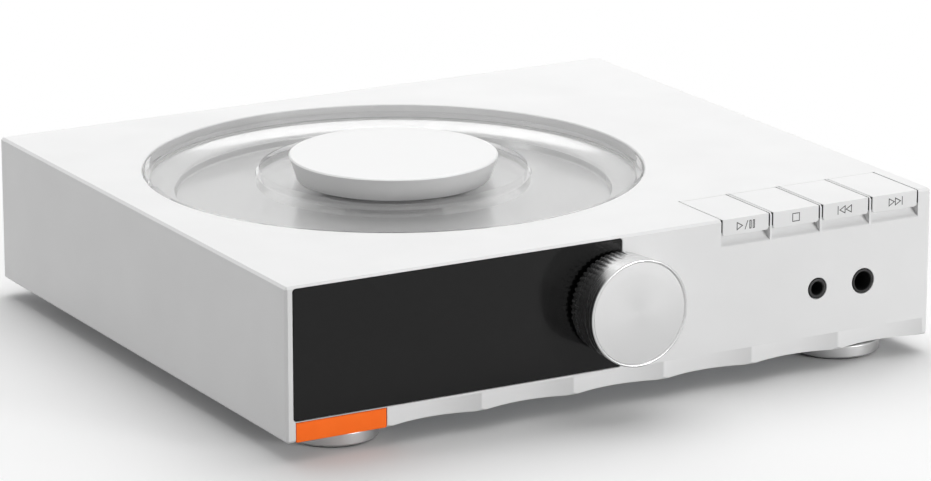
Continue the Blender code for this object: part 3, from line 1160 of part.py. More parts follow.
def build_rear():
    """The rear panel and what it carries: line, optical and usb sockets, mains inlet, power switch."""
    gap = SEAT_GAP
    panel_y = BACK_Y - PANEL_THICKNESS
    inner_x = SIDE_X - SIDE_THICKNESS - gap
    panel = block("rear_panel", (-inner_x, panel_y, BASE_LOW_Z),
                  (inner_x, BACK_Y, depth(TOP_THICKNESS) - gap), ZINC_SHEET)
    half_width, half_height = LINE_BLOCK_WIDTH / 2, LINE_BLOCK_HEIGHT / 2
    line_x, line_z = -SIDE_X + LINE_SIDE_INSET, BOARD_TOP_Z + gap + half_height
    block_back = panel_y - gap
    line = block("line_sockets", (line_x - half_width, block_back - LINE_BLOCK_DEPTH, line_z - half_height),
                 (line_x + half_width, block_back, line_z + half_height), BLACK_PLASTIC)
    outer = BACK_Y + REAR_PROTRUSION
    for number in (-1, 0, 1):
        x = line_x + LINE_PITCH * number
        cut(panel, rod("line_hole_%d" % number, LINE_BARREL_RADIUS + gap, (x, panel_y - OVERRUN, line_z),
                       (x, BACK_Y + OVERRUN, line_z), segments=SMALL_SEGMENTS))
        add(line, rod("line_barrel_%d" % number, LINE_BARREL_RADIUS, (x, block_back - gap, line_z),
                      (x, outer, line_z), segments=SMALL_SEGMENTS))
        cut(line, rod("line_bore_%d" % number, LINE_BORE_RADIUS, (x, BACK_Y, line_z),
                      (x, outer + OVERRUN, line_z), segments=FINE_SEGMENTS))
    build_digital_sockets(panel)
    build_mains(panel)


def build_digital_sockets(panel):
    gap = SEAT_GAP
    low_z = BOARD_TOP_Z + gap
    x = -SIDE_X + OPTICAL_SIDE_INSET
    half = OPTICAL_SIZE / 2
    front = BACK_Y - PANEL_THICKNESS - OPTICAL_DEPTH
    optical = block("optical_socket", (x - half, front, low_z), (x + half, BACK_Y, low_z + OPTICAL_SIZE),
                    BLACK_PLASTIC)
    hole = OPTICAL_OPENING / 2
    middle = low_z + half
    cut(optical, block("optical_opening", (x - hole, BACK_Y - OPTICAL_DEPTH, middle - hole),
                       (x + hole, BACK_Y + OVERRUN, middle + hole)))
    cut(panel, block("optical_hole", (x - half - gap, BACK_Y - PANEL_THICKNESS - OVERRUN, low_z - gap),
                     (x + half + gap, BACK_Y + OVERRUN, low_z + OPTICAL_SIZE + gap)))
    x = -SIDE_X + USB_SIDE_INSET
    high_z = low_z + USB_HEIGHT
    round_end = (USB_HEIGHT - USB_WALL) / 2
    outline = rounded_rectangle(x - USB_WIDTH / 2, low_z, x + USB_WIDTH / 2, high_z, round_end)
    inner = rounded_rectangle(x - USB_WIDTH / 2 + USB_WALL, low_z + USB_WALL, x + USB_WIDTH / 2 - USB_WALL,
                              high_z - USB_WALL, round_end - USB_WALL)
    usb = plate("usb_socket", [outline], BACK_Y - USB_DEPTH, BACK_Y, "XZ", STEEL)
    cut(usb, plate("usb_opening", [inner], BACK_Y - USB_DEPTH + USB_WALL, BACK_Y + OVERRUN, "XZ"))
    hole = rounded_rectangle(x - USB_WIDTH / 2 - gap, low_z - gap, x + USB_WIDTH / 2 + gap, high_z + gap,
                             round_end + gap)
    cut(panel, plate("usb_hole", [hole], BACK_Y - PANEL_THICKNESS - OVERRUN, BACK_Y + OVERRUN, "XZ"))


def panel_moulding(name, panel, place_at, size, body_depth):
    """A flange outside the panel with a body through it. Returns it and the body's half sizes."""
    (x, z), (width, height) = place_at, size
    gap, flange = SEAT_GAP, CONNECTOR_FLANGE
    moulding = block(name, (x - width / 2, BACK_Y + gap, z - height / 2),
                     (x + width / 2, BACK_Y + gap + flange, z + height / 2), BLACK_PLASTIC)
    half_width, half_height = width / 2 - flange, height / 2 - flange
    add(moulding, block(name + "_body", (x - half_width, BACK_Y - body_depth, z - half_height),
                        (x + half_width, BACK_Y + 2 * gap, z + half_height)))
    cut(panel, block(name + "_hole",
                     (x - half_width - gap, BACK_Y - PANEL_THICKNESS - OVERRUN, z - half_height - gap),
                     (x + half_width + gap, BACK_Y + OVERRUN, z + half_height + gap)))
    return moulding, half_width, half_height


def build_mains(panel):
    """The mains inlet and the frame of the power rocker, side by side."""
    x, z = SIDE_X - INLET_SIDE_INSET, BOTTOM_Z + INLET_LIFT
    face_y = BACK_Y + CONNECTOR_FLANGE
    inlet, _, _ = panel_moulding("mains_inlet", panel, (x, z), (INLET_WIDTH, INLET_HEIGHT), INLET_DEPTH)
    half_mouth, end = INLET_OPENING_WIDTH / 2, INLET_OPENING_HEIGHT / 2
    mouth = rounded_rectangle(x - half_mouth, z - end, x + half_mouth, z + end, end)
    cut(inlet, plate("inlet_opening", [mouth], face_y - INLET_OPENING_DEPTH, face_y + OVERRUN, "XZ"))
    x = SIDE_X - SWITCH_SIDE_INSET
    frame, half_width, half_height = panel_moulding("switch_frame", panel, (x, z),
                                                    (SWITCH_WIDTH, SWITCH_HEIGHT), SWITCH_DEPTH)
    room = (half_width - SWITCH_WALL, half_height - SWITCH_WALL)
    cut(frame, block("switch_room", (x - room[0], BACK_Y - SWITCH_DEPTH / 2, z - room[1]),
                     (x + room[0], face_y + OVERRUN, z + room[1])))
    build_rocker(frame, x, z, (room[0] - SEAT_GAP, room[1] - SEAT_GAP))


def build_rocker(frame, x, z, room):
    """The power rocker, tipped to off, on a pin through the switch frame."""
    pivot_y = BACK_Y - SWITCH_DEPTH / 4
    crest = BACK_Y + CONNECTOR_FLANGE + ROCKER_PROUD
    half = ROCKER_LENGTH / 2
    valley = crest - half * math.tan(ROCKER_TILT)
    low = pivot_y - 2 * ROCKER_PIN_RADIUS
    outline = tipped([(x - half, low), (x + half, low), (x + half, crest), (x, valley), (x - half, crest)],
                     (x, pivot_y), -ROCKER_TILT)
    bore = circle((x, pivot_y), ROCKER_PIN_RADIUS + RUNNING_GAP, FINE_SEGMENTS)
    rocker = plate("power_rocker", [outline, bore], z - room[1], z + room[1], "XY", BLACK_PLASTIC)
    reach = room[1] + SWITCH_WALL
    add(frame, rod("rocker_pin", ROCKER_PIN_RADIUS, (x, pivot_y, z - reach), (x, pivot_y, z + reach),
                   segments=FINE_SEGMENTS))
    axis_of("rocker_axis", (x, pivot_y, z), (rocker,))


def tipped(points, centre, angle):
    """The points turned about a centre."""
    cosine, sine = math.cos(angle), math.sin(angle)
    moved = []
    for x, y in points:
        across, along = x - centre[0], y - centre[1]
        moved.append((centre[0] + across * cosine - along * sine,
                      centre[1] + across * sine + along * cosine))
    return moved


build_housing()
build_front_trim()
build_base()
build_well()
build_cover()
build_clamp_and_turntable()
build_deck()
build_sled()
build_feed()
build_keys()
build_knob()
build_front_sockets()
build_boards()
build_rear()
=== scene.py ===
"""A top-loading cd player with a lift-off clear cover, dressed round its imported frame.

Lengths are in metres and colours are sRGB hex. The front faces -Y and the top faces +Z.
A drop is measured down from the top of the case, and a depth in from its front.
"""

import math

import bmesh
import bpy
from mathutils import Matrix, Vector


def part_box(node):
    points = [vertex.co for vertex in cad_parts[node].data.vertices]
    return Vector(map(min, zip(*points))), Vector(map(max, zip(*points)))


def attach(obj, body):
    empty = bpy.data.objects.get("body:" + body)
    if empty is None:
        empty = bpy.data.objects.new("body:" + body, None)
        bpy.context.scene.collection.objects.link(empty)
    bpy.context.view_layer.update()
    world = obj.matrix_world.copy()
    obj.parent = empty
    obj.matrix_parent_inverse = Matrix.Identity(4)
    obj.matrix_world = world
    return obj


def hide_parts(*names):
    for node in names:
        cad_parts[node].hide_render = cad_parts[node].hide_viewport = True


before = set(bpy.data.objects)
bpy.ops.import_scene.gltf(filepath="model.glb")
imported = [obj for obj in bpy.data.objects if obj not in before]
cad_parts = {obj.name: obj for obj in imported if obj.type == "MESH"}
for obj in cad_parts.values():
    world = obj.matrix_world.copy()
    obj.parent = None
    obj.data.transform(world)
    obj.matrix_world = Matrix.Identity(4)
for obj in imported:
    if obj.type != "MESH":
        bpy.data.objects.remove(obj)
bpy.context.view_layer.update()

# Camera: the photograph's own, solved from the corners of the case and the rim of the well
CAMERA_PLACE = (-0.75064, -1.32949, 0.45893)
CAMERA_AZIMUTH = math.radians(29.49)
CAMERA_ELEVATION = math.radians(15.69)
CAMERA_LENS_MM = 180.0
CAMERA_SENSOR_MM = 36.0

# Studio
FLOOR_SIZE = 8.0
FLOOR_FADE_START = 0.17
FLOOR_FADE_END = 0.28
FLOOR_BOUNCE_COLOUR = "8E8E8E"
AMBIENT_STRENGTH = 0.25
BACKGROUND_STRENGTH = 1.0

# Lamps: name, place, size and watts
LAMPS = (("overhead_softbox", (0.3, 0.42, 1.2), 1.4, 15.4),
         ("front_softbox", (0.65, -1.4, 0.22), 0.4, 12.1),
         ("left_softbox", (-1.5, 0.3, 0.25), 0.4, 5.3))

# Fineness of the meshes
ROUND_SEGMENTS = 192
SMALL_SEGMENTS = 64
FINE_SEGMENTS = 32
SOFT_STEPS = 4
CORNER_STEPS = 8
DOME_STEPS = 8
LUG_STEPS = 12
SHARP_ANGLE = math.radians(35)

# Fits and soft edges
GAP = 0.0003
OVERRUN = 0.002
CONTACT_GAP = 0.00005
LONGEST_SOFT_SHARE = 0.45
MOULDED_SOFT_EDGE = 0.00015
PLATED_SOFT_EDGE = 0.0003

# Case
CASE_EDGE_CHAMFER = 0.0008
TOP_THICKNESS = 0.005
SIDE_THICKNESS = 0.004
FRONT_THICKNESS = 0.006
POST_SIZE = 0.009
POST_FRONT_INSET = 0.04
BASE_THICKNESS = 0.0016
FLUTE_PITCH = 0.034
FLUTE_DEPTH = 0.0032
FLUTE_HEIGHT = 0.0061
FLUTE_COUNT = 6
FLUTE_FIRST_X = -0.068
FLUTE_SEGMENTS = 400
POCKET_CHAMFER = 0.00015
WINDOW_CLEARANCE = 0.0002
WINDOW_CORNER = 0.0009
WINDOW_SOFT_EDGE = 0.0002
DISPLAY_BOARD_BORDER = 0.0015
BADGE_CORNER = 0.0004
BADGE_SOFT_EDGE = 0.00015
BUSH_RADIUS = 0.0045
WELL_EDGE_CHAMFER = 0.0004

# Keys
KEYS = ("play", "stop", "previous", "next")
KEY_STEMS = tuple("key_stem_" + name for name in KEYS)
KEY_SIDE_GAP = 0.0005
# Black strips that paint shade into the narrow gaps beside each key
KEY_SHADE_STRIP_THICKNESS = 0.00005
KEY_SHADE_STRIP_INSET = 0.0002
KEY_BACK_GAP = 0.0001
KEY_THICKNESS = 0.0024
KEY_LIP_HEIGHT = 0.0056
KEY_LIP_THICKNESS = 0.0026
KEY_CORNER = 0.0011
KEY_CORNER_STEPS = 6
KEY_EDGE_ROUND = 0.00015
KEY_EDGE_STEPS = 3
KEY_NUB_LENGTH = 0.011
KEY_NUB_WIDTH = 0.0025
KEY_NUB_DROP = 0.0073
KEY_PIVOT_LENGTH = 0.023
KEY_PIVOT_DROP = 0.0074
KEY_LUG_RADIUS = 0.0022
KEY_BORE_RADIUS = 0.0013
KEY_RECESS_DROP = 0.009
KEY_RECESS_RISE = 0.0034
KEY_RECESS_DEPTH = 0.0034
KEY_RECESS_CURVE = 1.5
KEY_RECESS_STEPS = 12
KEY_SILL_DROP = 0.0038
KEY_RECESS_EDGE = 0.0003
KEY_RELIEF_RADIUS = 0.0005
SIGN_HEIGHT = 0.0029
SIGN_STROKE = 0.00028
SIGN_PROUD = 0.00003
SIGN_SINK = 0.0001
ARROW_WIDTH_SHARE = 0.86
ARROW_START = 0.0001
PLAY_ARROW_START = -0.0035
PLAY_SLASH_START = 0.0001
PLAY_SLASH_LEAN = 0.0005
PAUSE_BAR_STARTS = (0.0014, 0.0027)
PAUSE_BAR_WIDTH = 0.0008

# Sockets in the front: the radius of each bezel and of its bore
SOCKETS = (("socket_large", 0.00405, 0.0032), ("socket_small", 0.00335, 0.00225))
SOCKET_BODY_ROUND = 0.0005
SOCKET_BORE_DEPTH = 0.02
SOCKET_EDGE_ROUND = 0.0003
CONTACT_DEPTH = 0.01
CONTACT_LENGTH = 0.0022
CONTACT_THICKNESS = 0.0004

# Well and cover
DAMPERS = tuple("deck_damper_%d" % number for number in (1, 2, 3, 4))
WELL_FLANGE_RADIUS = 0.09304
WELL_SEAT_RADIUS = 0.08224
WELL_STEP_RADIUS = 0.0742
WELL_STEP_DROP = 0.0078
WELL_FLOOR_DROP = 0.0103
WELL_SHELL = 0.002
WELL_DRAFT = 0.0003
WELL_HUB_RADIUS = 0.0172
WELL_SOFT_EDGE = 0.0002
WELL_SEAT_GAP = 0.0001
COVE_STEPS = 14
DAMPER_SHOULDER_RADIUS = 0.004
DAMPER_SHOULDER_DROP = 0.01385
DAMPER_PIN_RADIUS = 0.002
DAMPER_PIN_DROP = 0.01965
LENS_SLOT_WIDTH = 0.016
LENS_SLOT_START = 0.0125
LENS_SLOT_END = 0.064
COVER_THICKNESS = 0.0022
COVER_RIM_WIDTH = 0.002
COVER_DISH_RADIUS = 0.0455
COVER_DISH_DROP = 0.0039
COVER_DISH_WALL = 0.0012
COVER_HOLE_RADIUS = 0.0171
COVER_SOFT_EDGE = 0.0005
PUCK_BASE_RADIUS = 0.0328
PUCK_BASE_DROP = 0.0036
PUCK_HOLLOW_RADIUS = 0.0243
PUCK_ROOF = 0.00195
PUCK_PIN_RADIUS = 0.0015
PUCK_CHAMFER = 0.0005
PUCK_SOFT_EDGE = 0.00012

# Disc clamp, turntable and lens
CLAMP_BORE_RADIUS = 0.0018
CLAMP_RADIUS = 0.0165
CLAMP_FLANGE_RADIUS = 0.02
CLAMP_FLANGE_THICKNESS = 0.0012
CLAMP_SEAT_WIDTH = 0.0035
CLAMP_SEAT_STEP = 0.0008
MAGNET_POCKET_RADIUS = 0.01
MAGNET_POCKET_DEPTH = 0.0015
HUB_RADIUS = 0.0145
HUB_THICKNESS = 0.0022
HUB_CONE_RADIUS = 0.0073
HUB_CONE_TOP_RADIUS = 0.0056
HUB_CONE_HEIGHT = 0.0011
HUB_NECK_RADIUS = 0.004
HUB_NECK_LENGTH = 0.0018
SPINDLE_RADIUS = 0.001
SEAT_RING_INSIDE = 0.0115
SEAT_RING_OUTSIDE = 0.0139
SEAT_RING_THICKNESS = 0.0006
SEAT_RING_DROP = 0.00015
LENS_HOLDER_HEIGHT = 0.0016
LENS_RADIUS = 0.0022
LENS_RISE = 0.0005

# Knob
KNOB_RIBS = 54
KNOB_POINTS_PER_RIB = 8
KNOB_RIB_DEPTH = 0.0007
KNOB_BASE_RADIUS = 0.0168
KNOB_BACK_CHAMFER = 0.0002
KNOB_BACK_INSET = 0.0004
KNOB_RIM = 0.0006
KNOB_DISC_THICKNESS = 0.0003
KNOB_FACE_DISH = 0.0004
KNOB_FACE_DOME = 0.0004
KNOB_CAVITY_RADIUS = 0.0135
KNOB_CAVITY_DEPTH = 0.008
KNOB_BORE_RADIUS = 0.0033
KNOB_BORE_DEPTH = 0.0118
KNOB_SOFT_EDGE = 0.0002
RIB_FULLNESS = 0.7
RIB_LEVELS = 10
RIB_REACH_SHARE = 0.6

# Feet
FOOT_NECK_RADIUS = 0.008
FOOT_SHOULDER_Z = 0.0056
FOOT_PAD_PROUD = 0.0008
FOOT_CHAMFER = 0.0006
FOOT_SOFT_EDGE = 0.00015
PAD_SOFT_EDGE = 0.0003

# Rear panel
PANEL_EDGE_ROUND = 0.0001
LINE_PITCH = 0.014
LINE_BARREL_RADIUS = 0.00415
LINE_CORE_RADIUS = 0.0033
LINE_CORE_RECESS = 0.0006
LINE_BORE_END = 0.0012
LINE_BORE_RADIUS = 0.0016
OPTICAL_BODY_ROUND = 0.0002
OPTICAL_OPENING = 0.0062
OPTICAL_OPENING_DEPTH = 0.0112
USB_WALL = 0.0004
USB_TONGUE_WIDTH = 0.0066
USB_TONGUE_LENGTH = 0.0068
USB_TONGUE_THICKNESS = 0.0007
CONNECTOR_FLANGE = 0.0015
FLANGE_CORNER = 0.002
FLANGE_CHAMFER = 0.0003
INLET_MOUTH_WIDTH = 0.0137
INLET_MOUTH_HEIGHT = 0.0083
INLET_DEPTH = 0.012
PIN_SPACING = 0.0086
PIN_RADIUS = 0.0012
PIN_LENGTH = 0.0095
SWITCH_WALL = 0.0016
SWITCH_ROOM_DEPTH = 0.0065
SCREW_RADIUS = 0.0027
SCREW_CROWN_RADIUS = 0.002025
SCREW_HEIGHT = 0.0014
SCREW_SLOT_WIDTH = 0.0006
SCREW_SLOT_LENGTH = 0.0032
SCREW_SLOT_DEPTH = 0.0008
REAR_SCREW_HEIGHTS = (0.0145, 0.0445)

# Boards
BOARDS = ("main_board", "power_board", "socket_board", "key_board")
BOARD_THICKNESS = 0.0016


# Places

def middle_of(node):
    low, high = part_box(node)
    return (low + high) / 2


def radius_of(node):
    low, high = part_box(node)
    return (high.x - low.x) / 2


CASE_LOW, CASE_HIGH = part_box("housing")
FRONT_Y, BACK_Y, TOP_Z = CASE_LOW.y, CASE_HIGH.y, CASE_HIGH.z
COVER_RADIUS = radius_of("cover")
COVER_CLEARANCE = 0.0007
WELL_RADIUS = COVER_RADIUS + COVER_CLEARANCE
WELL_X, WELL_Y = middle_of("cover").xy
WELL_TOP = (WELL_X, WELL_Y, TOP_Z)


# Materials

# The part of a noise pattern's values that most of it lies in
PATTERN_SPAN = (0.3, 0.7)


def linear(colour):
    """Linear RGBA of an sRGB hex colour."""
    channels = []
    for start in (0, 2, 4):
        share = int(colour[start:start + 2], 16) / 255
        channels.append(share / 12.92 if share <= 0.04045 else ((share + 0.055) / 1.055) ** 2.4)
    return (*channels, 1.0)


def add_node(look, kind, values=None, links=None, **options):
    """Adds a shader node with its options, its sockets' values and what is linked to them."""
    made = look.node_tree.nodes.new("ShaderNode" + kind)
    for name, value in options.items():
        setattr(made, name, value)
    for socket, value in (values or {}).items():
        made.inputs[socket].default_value = value
    for socket, source in (links or {}).items():
        look.node_tree.links.new(source, made.inputs[socket])
    return made


def new_look(name, colour, roughness, **values):
    """A material whose shader starts from one colour, a roughness and other plain values."""
    look = bpy.data.materials.new(name)
    look.use_nodes = True
    shader = shader_of(look)
    shader.inputs["Base Color"].default_value = linear(colour)
    shader.inputs["Roughness"].default_value = roughness
    for socket, value in values.items():
        shader.inputs[socket.replace("_", " ").title().replace("Ior", "IOR")].default_value = value
    return look


def shader_of(look):
    return look.node_tree.nodes["Principled BSDF"]


def feed(look, socket, source):
    look.node_tree.links.new(source, shader_of(look).inputs[socket])


def show_mix(look, share, shown, other):
    """The surface goes from one shader to another with the share."""
    mixed = add_node(look, "MixShader", None, {0: share, 1: shown, 2: other})
    output = look.node_tree.nodes["Material Output"]
    look.node_tree.links.new(mixed.outputs["Shader"], output.inputs["Surface"])


def grained(look, blot, tones=None, gloss=None, height=0.0, place=None, detail=2.0):
    """Noise with blots about this long in metres, in the colour, the roughness and the relief.

    Tones and gloss are the two ends of its colour and of its roughness. Returns the look.
    """
    place = place or add_node(look, "TexCoord").outputs["Object"]
    noise = add_node(look, "TexNoise", {"Scale": 1 / blot, "Detail": detail}, {"Vector": place})
    pattern = noise.outputs["Fac"]
    if tones:
        ramp = add_node(look, "ValToRGB", None, {"Fac": pattern})
        for stop, position, colour in zip(ramp.color_ramp.elements, PATTERN_SPAN, tones):
            stop.position = position
            stop.color = linear(colour)
        feed(look, "Base Color", ramp.outputs["Color"])
    if gloss:
        spread = add_node(look, "MapRange", {"From Min": PATTERN_SPAN[0], "From Max": PATTERN_SPAN[1],
                                             "To Min": gloss[0], "To Max": gloss[1]}, {"Value": pattern})
        feed(look, "Roughness", spread.outputs["Result"])
    if height:
        bump = add_node(look, "Bump", {"Distance": height}, {"Height": pattern})
        feed(look, "Normal", bump.outputs["Normal"])
    return look


def drawn_lines(look, stretch, width, gloss):
    """Fine lines left by rolling or grinding: noise drawn out along them."""
    place = add_node(look, "TexCoord").outputs["Object"]
    along = add_node(look, "VectorMath", {1: stretch}, {0: place}, operation="MULTIPLY")
    return grained(look, blot=width, gloss=gloss, height=0.000001, place=along.outputs["Vector"])


def turning_marks(look, spacing, height, gloss):
    """Rings left by a lathe round the piece's own axis, in its relief and its gloss."""
    place = add_node(look, "TexCoord").outputs["Object"]
    parts = add_node(look, "SeparateXYZ", None, {"Vector": place})
    flat = add_node(look, "CombineXYZ", None, {"X": parts.outputs["X"], "Y": parts.outputs["Y"]})
    reach = add_node(look, "VectorMath", None, {0: flat.outputs["Vector"]}, operation="LENGTH")
    rings = add_node(look, "CombineXYZ", None, {"X": reach.outputs["Value"], "Z": parts.outputs["Z"]})
    return grained(look, blot=spacing, gloss=gloss, height=height, place=rings.outputs["Vector"], detail=3.0)


def seen_or_mirrored(look, ray):
    """One for what the camera sees, directly or in a mirror, and else zero."""
    larger = add_node(look, "Math", None, {0: ray.outputs["Is Camera Ray"], 1: ray.outputs["Is Glossy Ray"]},
                      operation="MAXIMUM")
    return larger.outputs["Value"]


def powder_coat():
    """Silver-white powder coat on aluminium: a satin skin with a faint orange peel."""
    look = new_look("silver_white_powder_coat", "EEEEEE", roughness=0.42, ior=1.5)
    grained(look, blot=0.03, tones=("ECECEC", "F0F0F0"))
    return grained(look, blot=0.0009, gloss=(0.38, 0.47), height=0.000004)


def lacquered_well():
    """Silver flake lacquer: the well mirrors the puck softly and its cove gathers the light."""
    # Darker than the case's coat: partly its own grey, partly painted shade under the cover.
    look = new_look("silver_lacquer_and_painted_shade", "B2B2B2", roughness=0.25, ior=1.5, metallic=0.4,
                    coat_weight=0.6, coat_roughness=0.05)
    return grained(look, blot=0.03, tones=("B1B1B1", "B3B3B3"), gloss=(0.24, 0.26))


def clear_acrylic():
    """Clear acrylic: its coat has the gloss of acrylic, with the least haze of handling.

    The body bends light less than the real 1.49, so that no edge guides light from under the puck.
    """
    look = new_look("clear_moulded_acrylic", "FBFBFB", roughness=0.02, ior=1.02, transmission_weight=1.0,
                    coat_weight=0.55, coat_roughness=0.02)
    grained(look, blot=0.02, gloss=(0.012, 0.03))
    clear = add_node(look, "BsdfTransparent", {"Color": linear("CCCCCC")})
    ray = add_node(look, "LightPath")
    show_mix(look, ray.outputs["Is Shadow Ray"], shader_of(look).outputs["BSDF"], clear.outputs["BSDF"])
    return look


def turned_aluminium(name, colour, roughness, anisotropic, mark_height, metallic=1.0):
    """Lathe-turned, clear-anodised aluminium. Real marks are 0.1 mm apart and are drawn at 0.4 mm.

    A blasted skin scatters much of the light as paint does, so it counts as less metallic.
    """
    look = new_look(name, colour, roughness, metallic=metallic, anisotropic=anisotropic)
    sway = 0.02
    turning_marks(look, spacing=0.0004, height=mark_height, gloss=(roughness - sway, roughness + sway))
    tangent = add_node(look, "Tangent", direction_type="RADIAL", axis="Z")
    feed(look, "Tangent", tangent.outputs["Tangent"])
    return look


def display_glass():
    """Black coated glass: flat, dark and almost without glare, as a dead display looks."""
    look = new_look("black_coated_glass", "111111", roughness=0.12, ior=1.5, specular_ior_level=0.24)
    grained(look, blot=0.04, tones=("101010", "131313"))
    return grained(look, blot=0.006, gloss=(0.1, 0.15))


def orange_enamel():
    """Orange pearl enamel baked on a small plate, satin, with some of the shine of metal."""
    look = new_look("orange_enamelled_plate", "FF6E16", roughness=0.3, ior=1.5, metallic=0.4,
                    specular_ior_level=0.3)
    grained(look, blot=0.008, tones=("FD6C14", "FF7018"))
    return grained(look, blot=0.0007, gloss=(0.3, 0.4), height=0.000004)


def moulded_black():
    """Black ABS from a spark-eroded mould: a fine matt grain, drawn at 0.5 mm."""
    look = new_look("spark_grained_black_abs", "161616", roughness=0.5, ior=1.53, specular_ior_level=0.35)
    return grained(look, blot=0.0005, tones=("131313", "191919"), gloss=(0.42, 0.58), height=0.000008)


def coloured_insulator(name, colour_a, colour_b):
    """Moulded polypropylene in the usual colour for its line."""
    look = new_look(name, colour_a, roughness=0.4, ior=1.49)
    return grained(look, blot=0.0006, tones=(colour_a, colour_b), height=0.000004)


def moulded_acetal():
    """Natural acetal: milky white and faintly waxy."""
    look = new_look("natural_moulded_acetal", "E6E2D6", roughness=0.38, ior=1.48, subsurface_weight=0.15,
                    subsurface_scale=0.001)
    return grained(look, blot=0.0008, tones=("E2DED1", "EAE6DB"), gloss=(0.33, 0.43))


def moulded_rubber():
    """Black rubber with a dull, dusty grain."""
    look = new_look("moulded_black_rubber", "232323", roughness=0.8, ior=1.52)
    return grained(look, blot=0.0006, tones=("1E1E1E", "292929"), gloss=(0.72, 0.88), height=0.00002)


def zinc_sheet():
    """Zinc-plated steel sheet, slightly clouded, with faint rolling lines along X."""
    look = new_look("zinc_plated_steel", "BDBFC2", roughness=0.42, metallic=1.0)
    grained(look, blot=0.004, tones=("BABCBF", "C0C2C5"))
    return drawn_lines(look, stretch=(0.02, 1.0, 1.0), width=0.0005, gloss=(0.4, 0.46))


def ground_steel():
    """Centreless-ground steel with fine lines across the rod."""
    look = new_look("ground_bright_steel", "BFBFC2", roughness=0.22, metallic=1.0)
    return drawn_lines(look, stretch=(0.1, 1.0, 0.1), width=0.0003, gloss=(0.18, 0.3))


def nickel_plate():
    """Bright nickel on turned brass: warm and mirror-like."""
    look = new_look("nickel_plated_brass", "CFCBC2", roughness=0.18, metallic=1.0)
    return turning_marks(look, spacing=0.0003, height=0.000001, gloss=(0.14, 0.24))


def coated_lens():
    """A moulded objective lens with a violet anti-glare coat."""
    look = new_look("coated_objective_lens", "2C3370", roughness=0.05, ior=1.54, coat_weight=1.0,
                    coat_roughness=0.03)
    return grained(look, blot=0.003, tones=("262C63", "35407F"))


def circuit_board(name, board_top):
    """Green solder mask with paler tracks, and black chips above the board's top."""
    look = new_look(name, "1E5A38", roughness=0.4, ior=1.5)
    place = add_node(look, "TexCoord").outputs["Object"]
    tracks = add_node(look, "TexBrick", {"Scale": 1.0, "Brick Width": 0.007, "Row Height": 0.0013,
                                         "Mortar Size": 0.00018, "Color1": linear("1C5535"),
                                         "Color2": linear("216240"), "Mortar": linear("3A8458")},
                      {"Vector": place})
    height = add_node(look, "SeparateXYZ", None, {"Vector": place})
    above = add_node(look, "Math", {1: board_top + GAP}, {0: height.outputs["Z"]}, operation="GREATER_THAN")
    mixed = add_node(look, "MixRGB", {"Color2": linear("1C1C1E")},
                     {"Fac": above.outputs["Value"], "Color1": tracks.outputs["Color"]})
    feed(look, "Base Color", mixed.outputs["Color"])
    return look


def sintered_ferrite():
    """Sintered ferrite: dark grey with coarse pores."""
    look = new_look("sintered_ferrite", "3A3A3C", roughness=0.65, ior=2.0)
    return grained(look, blot=0.0004, tones=("2E2E30", "454547"), height=0.00001)


def printed_ink():
    """Black pad-printed ink, a touch uneven at the edges of its dots."""
    look = new_look("pad_printed_black_ink", "242426", roughness=0.55, ior=1.5)
    return grained(look, blot=0.0004, tones=("202022", "2A2A2C"))


def paper_floor():
    """A plain pale studio floor with a barely seen tooth, which fades to white behind the player.

    It throws less light back than the camera sees in it, as a paler table than a wide floor would.
    """
    look = new_look("pale_studio_paper", "FCFCFC", roughness=0.9)
    place = add_node(look, "TexCoord").outputs["Object"]
    ray = add_node(look, "LightPath")
    grained(look, blot=0.4, tones=("FBFBFB", "FDFDFD"))
    pale = shader_of(look).inputs["Base Color"].links[0].from_socket
    dull = add_node(look, "MixRGB", {"Color1": linear(FLOOR_BOUNCE_COLOUR)},
                    {"Fac": seen_or_mirrored(look, ray), "Color2": pale})
    feed(look, "Base Color", dull.outputs["Color"])
    away = add_node(look, "VectorMath", None, {0: place}, operation="LENGTH")
    fade = add_node(look, "MapRange", {"From Min": FLOOR_FADE_START, "From Max": FLOOR_FADE_END},
                    {"Value": away.outputs["Value"]}, interpolation_type="SMOOTHSTEP")
    seen = add_node(look, "Math", None, {0: fade.outputs["Result"], 1: ray.outputs["Is Camera Ray"]},
                    operation="MULTIPLY")
    white = add_node(look, "Emission", {"Color": linear("FFFFFF"), "Strength": BACKGROUND_STRENGTH})
    show_mix(look, seen.outputs["Value"], shader_of(look).outputs["BSDF"], white.outputs["Emission"])
    return look


COAT = powder_coat()
WELL_COAT_AND_SHADE = lacquered_well()
ACRYLIC = clear_acrylic()
PUCK_METAL = turned_aluminium("blasted_puck_aluminium", "DFDFDF", roughness=0.45, anisotropic=0.0,
                              mark_height=0.0000006, metallic=0.3)
KNOB_METAL = turned_aluminium("turned_knob_aluminium", "CBCBCB", roughness=0.26, anisotropic=0.2,
                              mark_height=0.0000001)
KNOB_FACE_METAL = turned_aluminium("fine_turned_knob_face", "CBCBCB", roughness=0.2, anisotropic=0.2,
                                   mark_height=0.0000001)
# The feet's grey is darker than the puck's: partly their own tone, partly painted shade under the case.
FOOT_METAL_AND_SHADE = turned_aluminium("turned_foot_aluminium_and_shade", "BEBEBE", roughness=0.38, anisotropic=0.3,
                              mark_height=0.0000015)
GLASS = display_glass()
ENAMEL = orange_enamel()
BLACK = moulded_black()
ACETAL = moulded_acetal()
RUBBER = moulded_rubber()
ZINC = zinc_sheet()
STEEL = ground_steel()
NICKEL = nickel_plate()
LENS = coated_lens()
FERRITE = sintered_ferrite()
WHITE_CORE = coloured_insulator("white_insulator", "E2E1DC", "EAE9E4")
RED_CORE = coloured_insulator("red_insulator", "A81C1E", "B82426")
INK = printed_ink()


# Mesh tools

